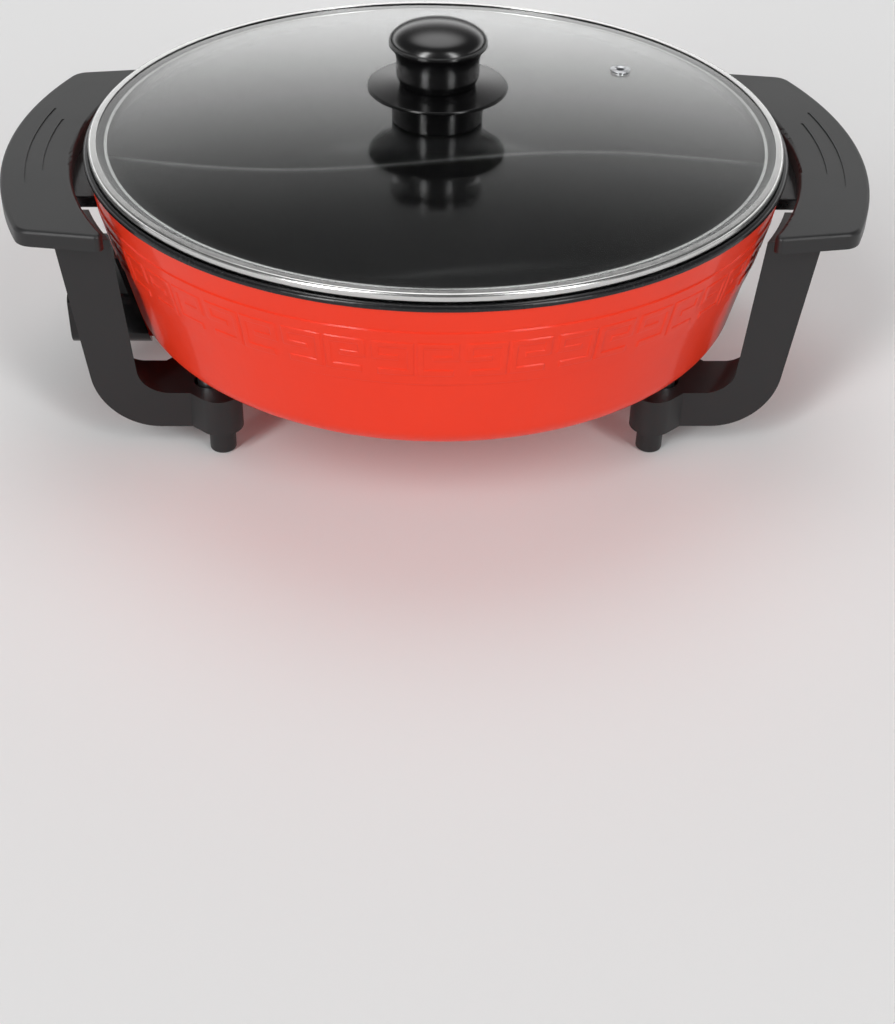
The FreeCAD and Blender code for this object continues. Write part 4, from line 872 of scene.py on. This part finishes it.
# %% Outline of the knob
foot = guard_top + 0.1
foot_round, waist, waist_top = 18.4, 20.2, foot + 11.0
cap_radius, cap_base, cap_rise, lip_low = 23.8, foot + 20.0, 9.1, foot + 18.6
throat_round, throat_turn = 9.82, 50.7
throat = np.radians(np.linspace(0, throat_turn, 9))
throat_arc = np.stack([waist + throat_round * (1 - np.cos(throat)),
                       waist_top + throat_round * np.sin(throat)], axis=1)
lip = rounded([tuple(throat_arc[-2]), (cap_radius, lip_low, 0.8), (cap_radius, cap_base)], 4)
sweep = np.radians(np.linspace(0, 90, 25))
cap = np.stack([cap_radius * np.cos(sweep), cap_base + cap_rise * np.sin(sweep)], axis=1)
lower_part = rounded([(0, foot), (foot_round, foot, 0.5), (waist, foot + 3.8, 3.0), (waist, waist_top)], 5)
knob_profile = np.vstack([lower_part, throat_arc[1:-1], lip[1:-1], cap])
print("the knob stands", round(cap_base + cap_rise - foot, 1), "mm over its guard")

# %% Knob
fit_out("knob_turned", mesh_of("knob_turned", turned(knob_profile, 160)), gloss_plastic, "lid", ["knob"],
        weighted=False, sharp=60.0)

# %% [markdown]
# ## Table
# The pot stands on a pale, plain table. A bare plane would look cut out, so its shade drifts very slightly,
# and it is large enough that its edge is never in the picture.

# %% Floor
floor_half = 6


def matt(name, colour):
    finish = Finish(name, Roughness=0.9)
    cloud = finish.noise(finish.place(), 3.0)
    finish.paint(Base_Color=finish.mix(cloud, (*(c * 0.985 for c in colour), 1), (*colour, 1)))
    return finish.item


floor_mesh = bpy.data.meshes.new("floor")
floor_mesh.from_pydata([(x * floor_half, y * floor_half, 0) for x, y in four], [], [(0, 1, 2, 3)])
floor_mesh.materials.append(matt("pale_floor", (0.86, 0.86, 0.86)))
floor = bpy.data.objects.new("floor", floor_mesh)
bpy.context.scene.collection.objects.link(floor)
print("the floor is", 2 * floor_half, "m wide")

# %% [markdown]
# ## Light
# The photograph was lit in a white studio, and its soft light can be read off the object. Two upright
# highlights on the knob come from tall strips in front, to the left and right. The pane mirrors a bright
# backdrop that fades with height, and the whole is filled from above. Such lights could be lamps, but then
# their hard edges would show in the glass, so the world itself carries them as soft patches of light.

# %% Directions of the studio
world = bpy.data.worlds.new("studio")
studio = Finish("studio", owner=world)
direction = studio.node("ShaderNodeTexCoord", output="Generated")
ray = studio.node("ShaderNodeSeparateXYZ", inputs={"Vector": direction})
ray_x, ray_y, ray_z = (Wire(studio, ray.socket.node.outputs[i]) for i in range(3))
elevation = ray_z.math("ARCSINE") * (180 / math.pi)
bearing = ray_x.math("ARCTAN2", ray_y * -1.0) * (180 / math.pi)


def patch(middle, half, soft, low, high, soft_height):
    """A soft window of directions: bearing from the front in degrees, and elevation from low to high."""
    away = (bearing - middle).math("ABSOLUTE")
    sideways = 1 - away.smooth(half - soft, half + soft)
    upward = elevation.smooth(low - soft_height, low + soft_height)
    return sideways * upward * (1 - elevation.smooth(high - soft_height, high + soft_height))


print("directions take", len(studio.tree.nodes), "nodes")

# %% [markdown]
# Each light is a level times a soft window. The backdrop's fall is squared, because the pane in the
# photograph darkens quickly at its back and ever more gently towards the front. The camera itself sees a
# plain pale background, so the lights show only in what they light. The Standard view keeps the red as
# strong as it is painted; Blender's usual view would wash it towards pink.

# %% Lights of the studio
strip_window = (6, 4, 4, 58, 8)
left_level, right_level, strip_bearing = 12.0, 8.0, 37
strips = left_level * patch(-strip_bearing, *strip_window) + right_level * patch(strip_bearing, *strip_window)
behind = 1 - (bearing.math("ABSOLUTE") - 180).math("ABSOLUTE").smooth(70, 120)
fade_end, fade_span = 31.5, 15.5
fall = ((fade_end - elevation) * (1 / fade_span)).math("MAXIMUM", 0.0).math("MINIMUM", 1.1)
backdrop = behind * fall * fall * elevation.smooth(9, 17)
lean = math.radians(64)
overhead = (ray_y * math.cos(lean) + ray_z * math.sin(lean)).smooth(0.885, 0.985)
ambient, backdrop_level, overhead_level, plain_level = 0.1, 2.4, 1.8, 0.8
light = ambient + strips + backdrop_level * backdrop + overhead_level * overhead
seen = studio.node("ShaderNodeLightPath", output="Is Camera Ray")
light = light + seen * (plain_level - light)
studio.tree.nodes["Background"].inputs["Color"].default_value = (1, 1, 1, 1)
studio.feed(studio.tree.nodes["Background"].inputs["Strength"], light)
bpy.context.scene.world = world
bpy.context.scene.view_settings.view_transform = "Standard"
print("the studio has", len(studio.tree.nodes), "nodes")
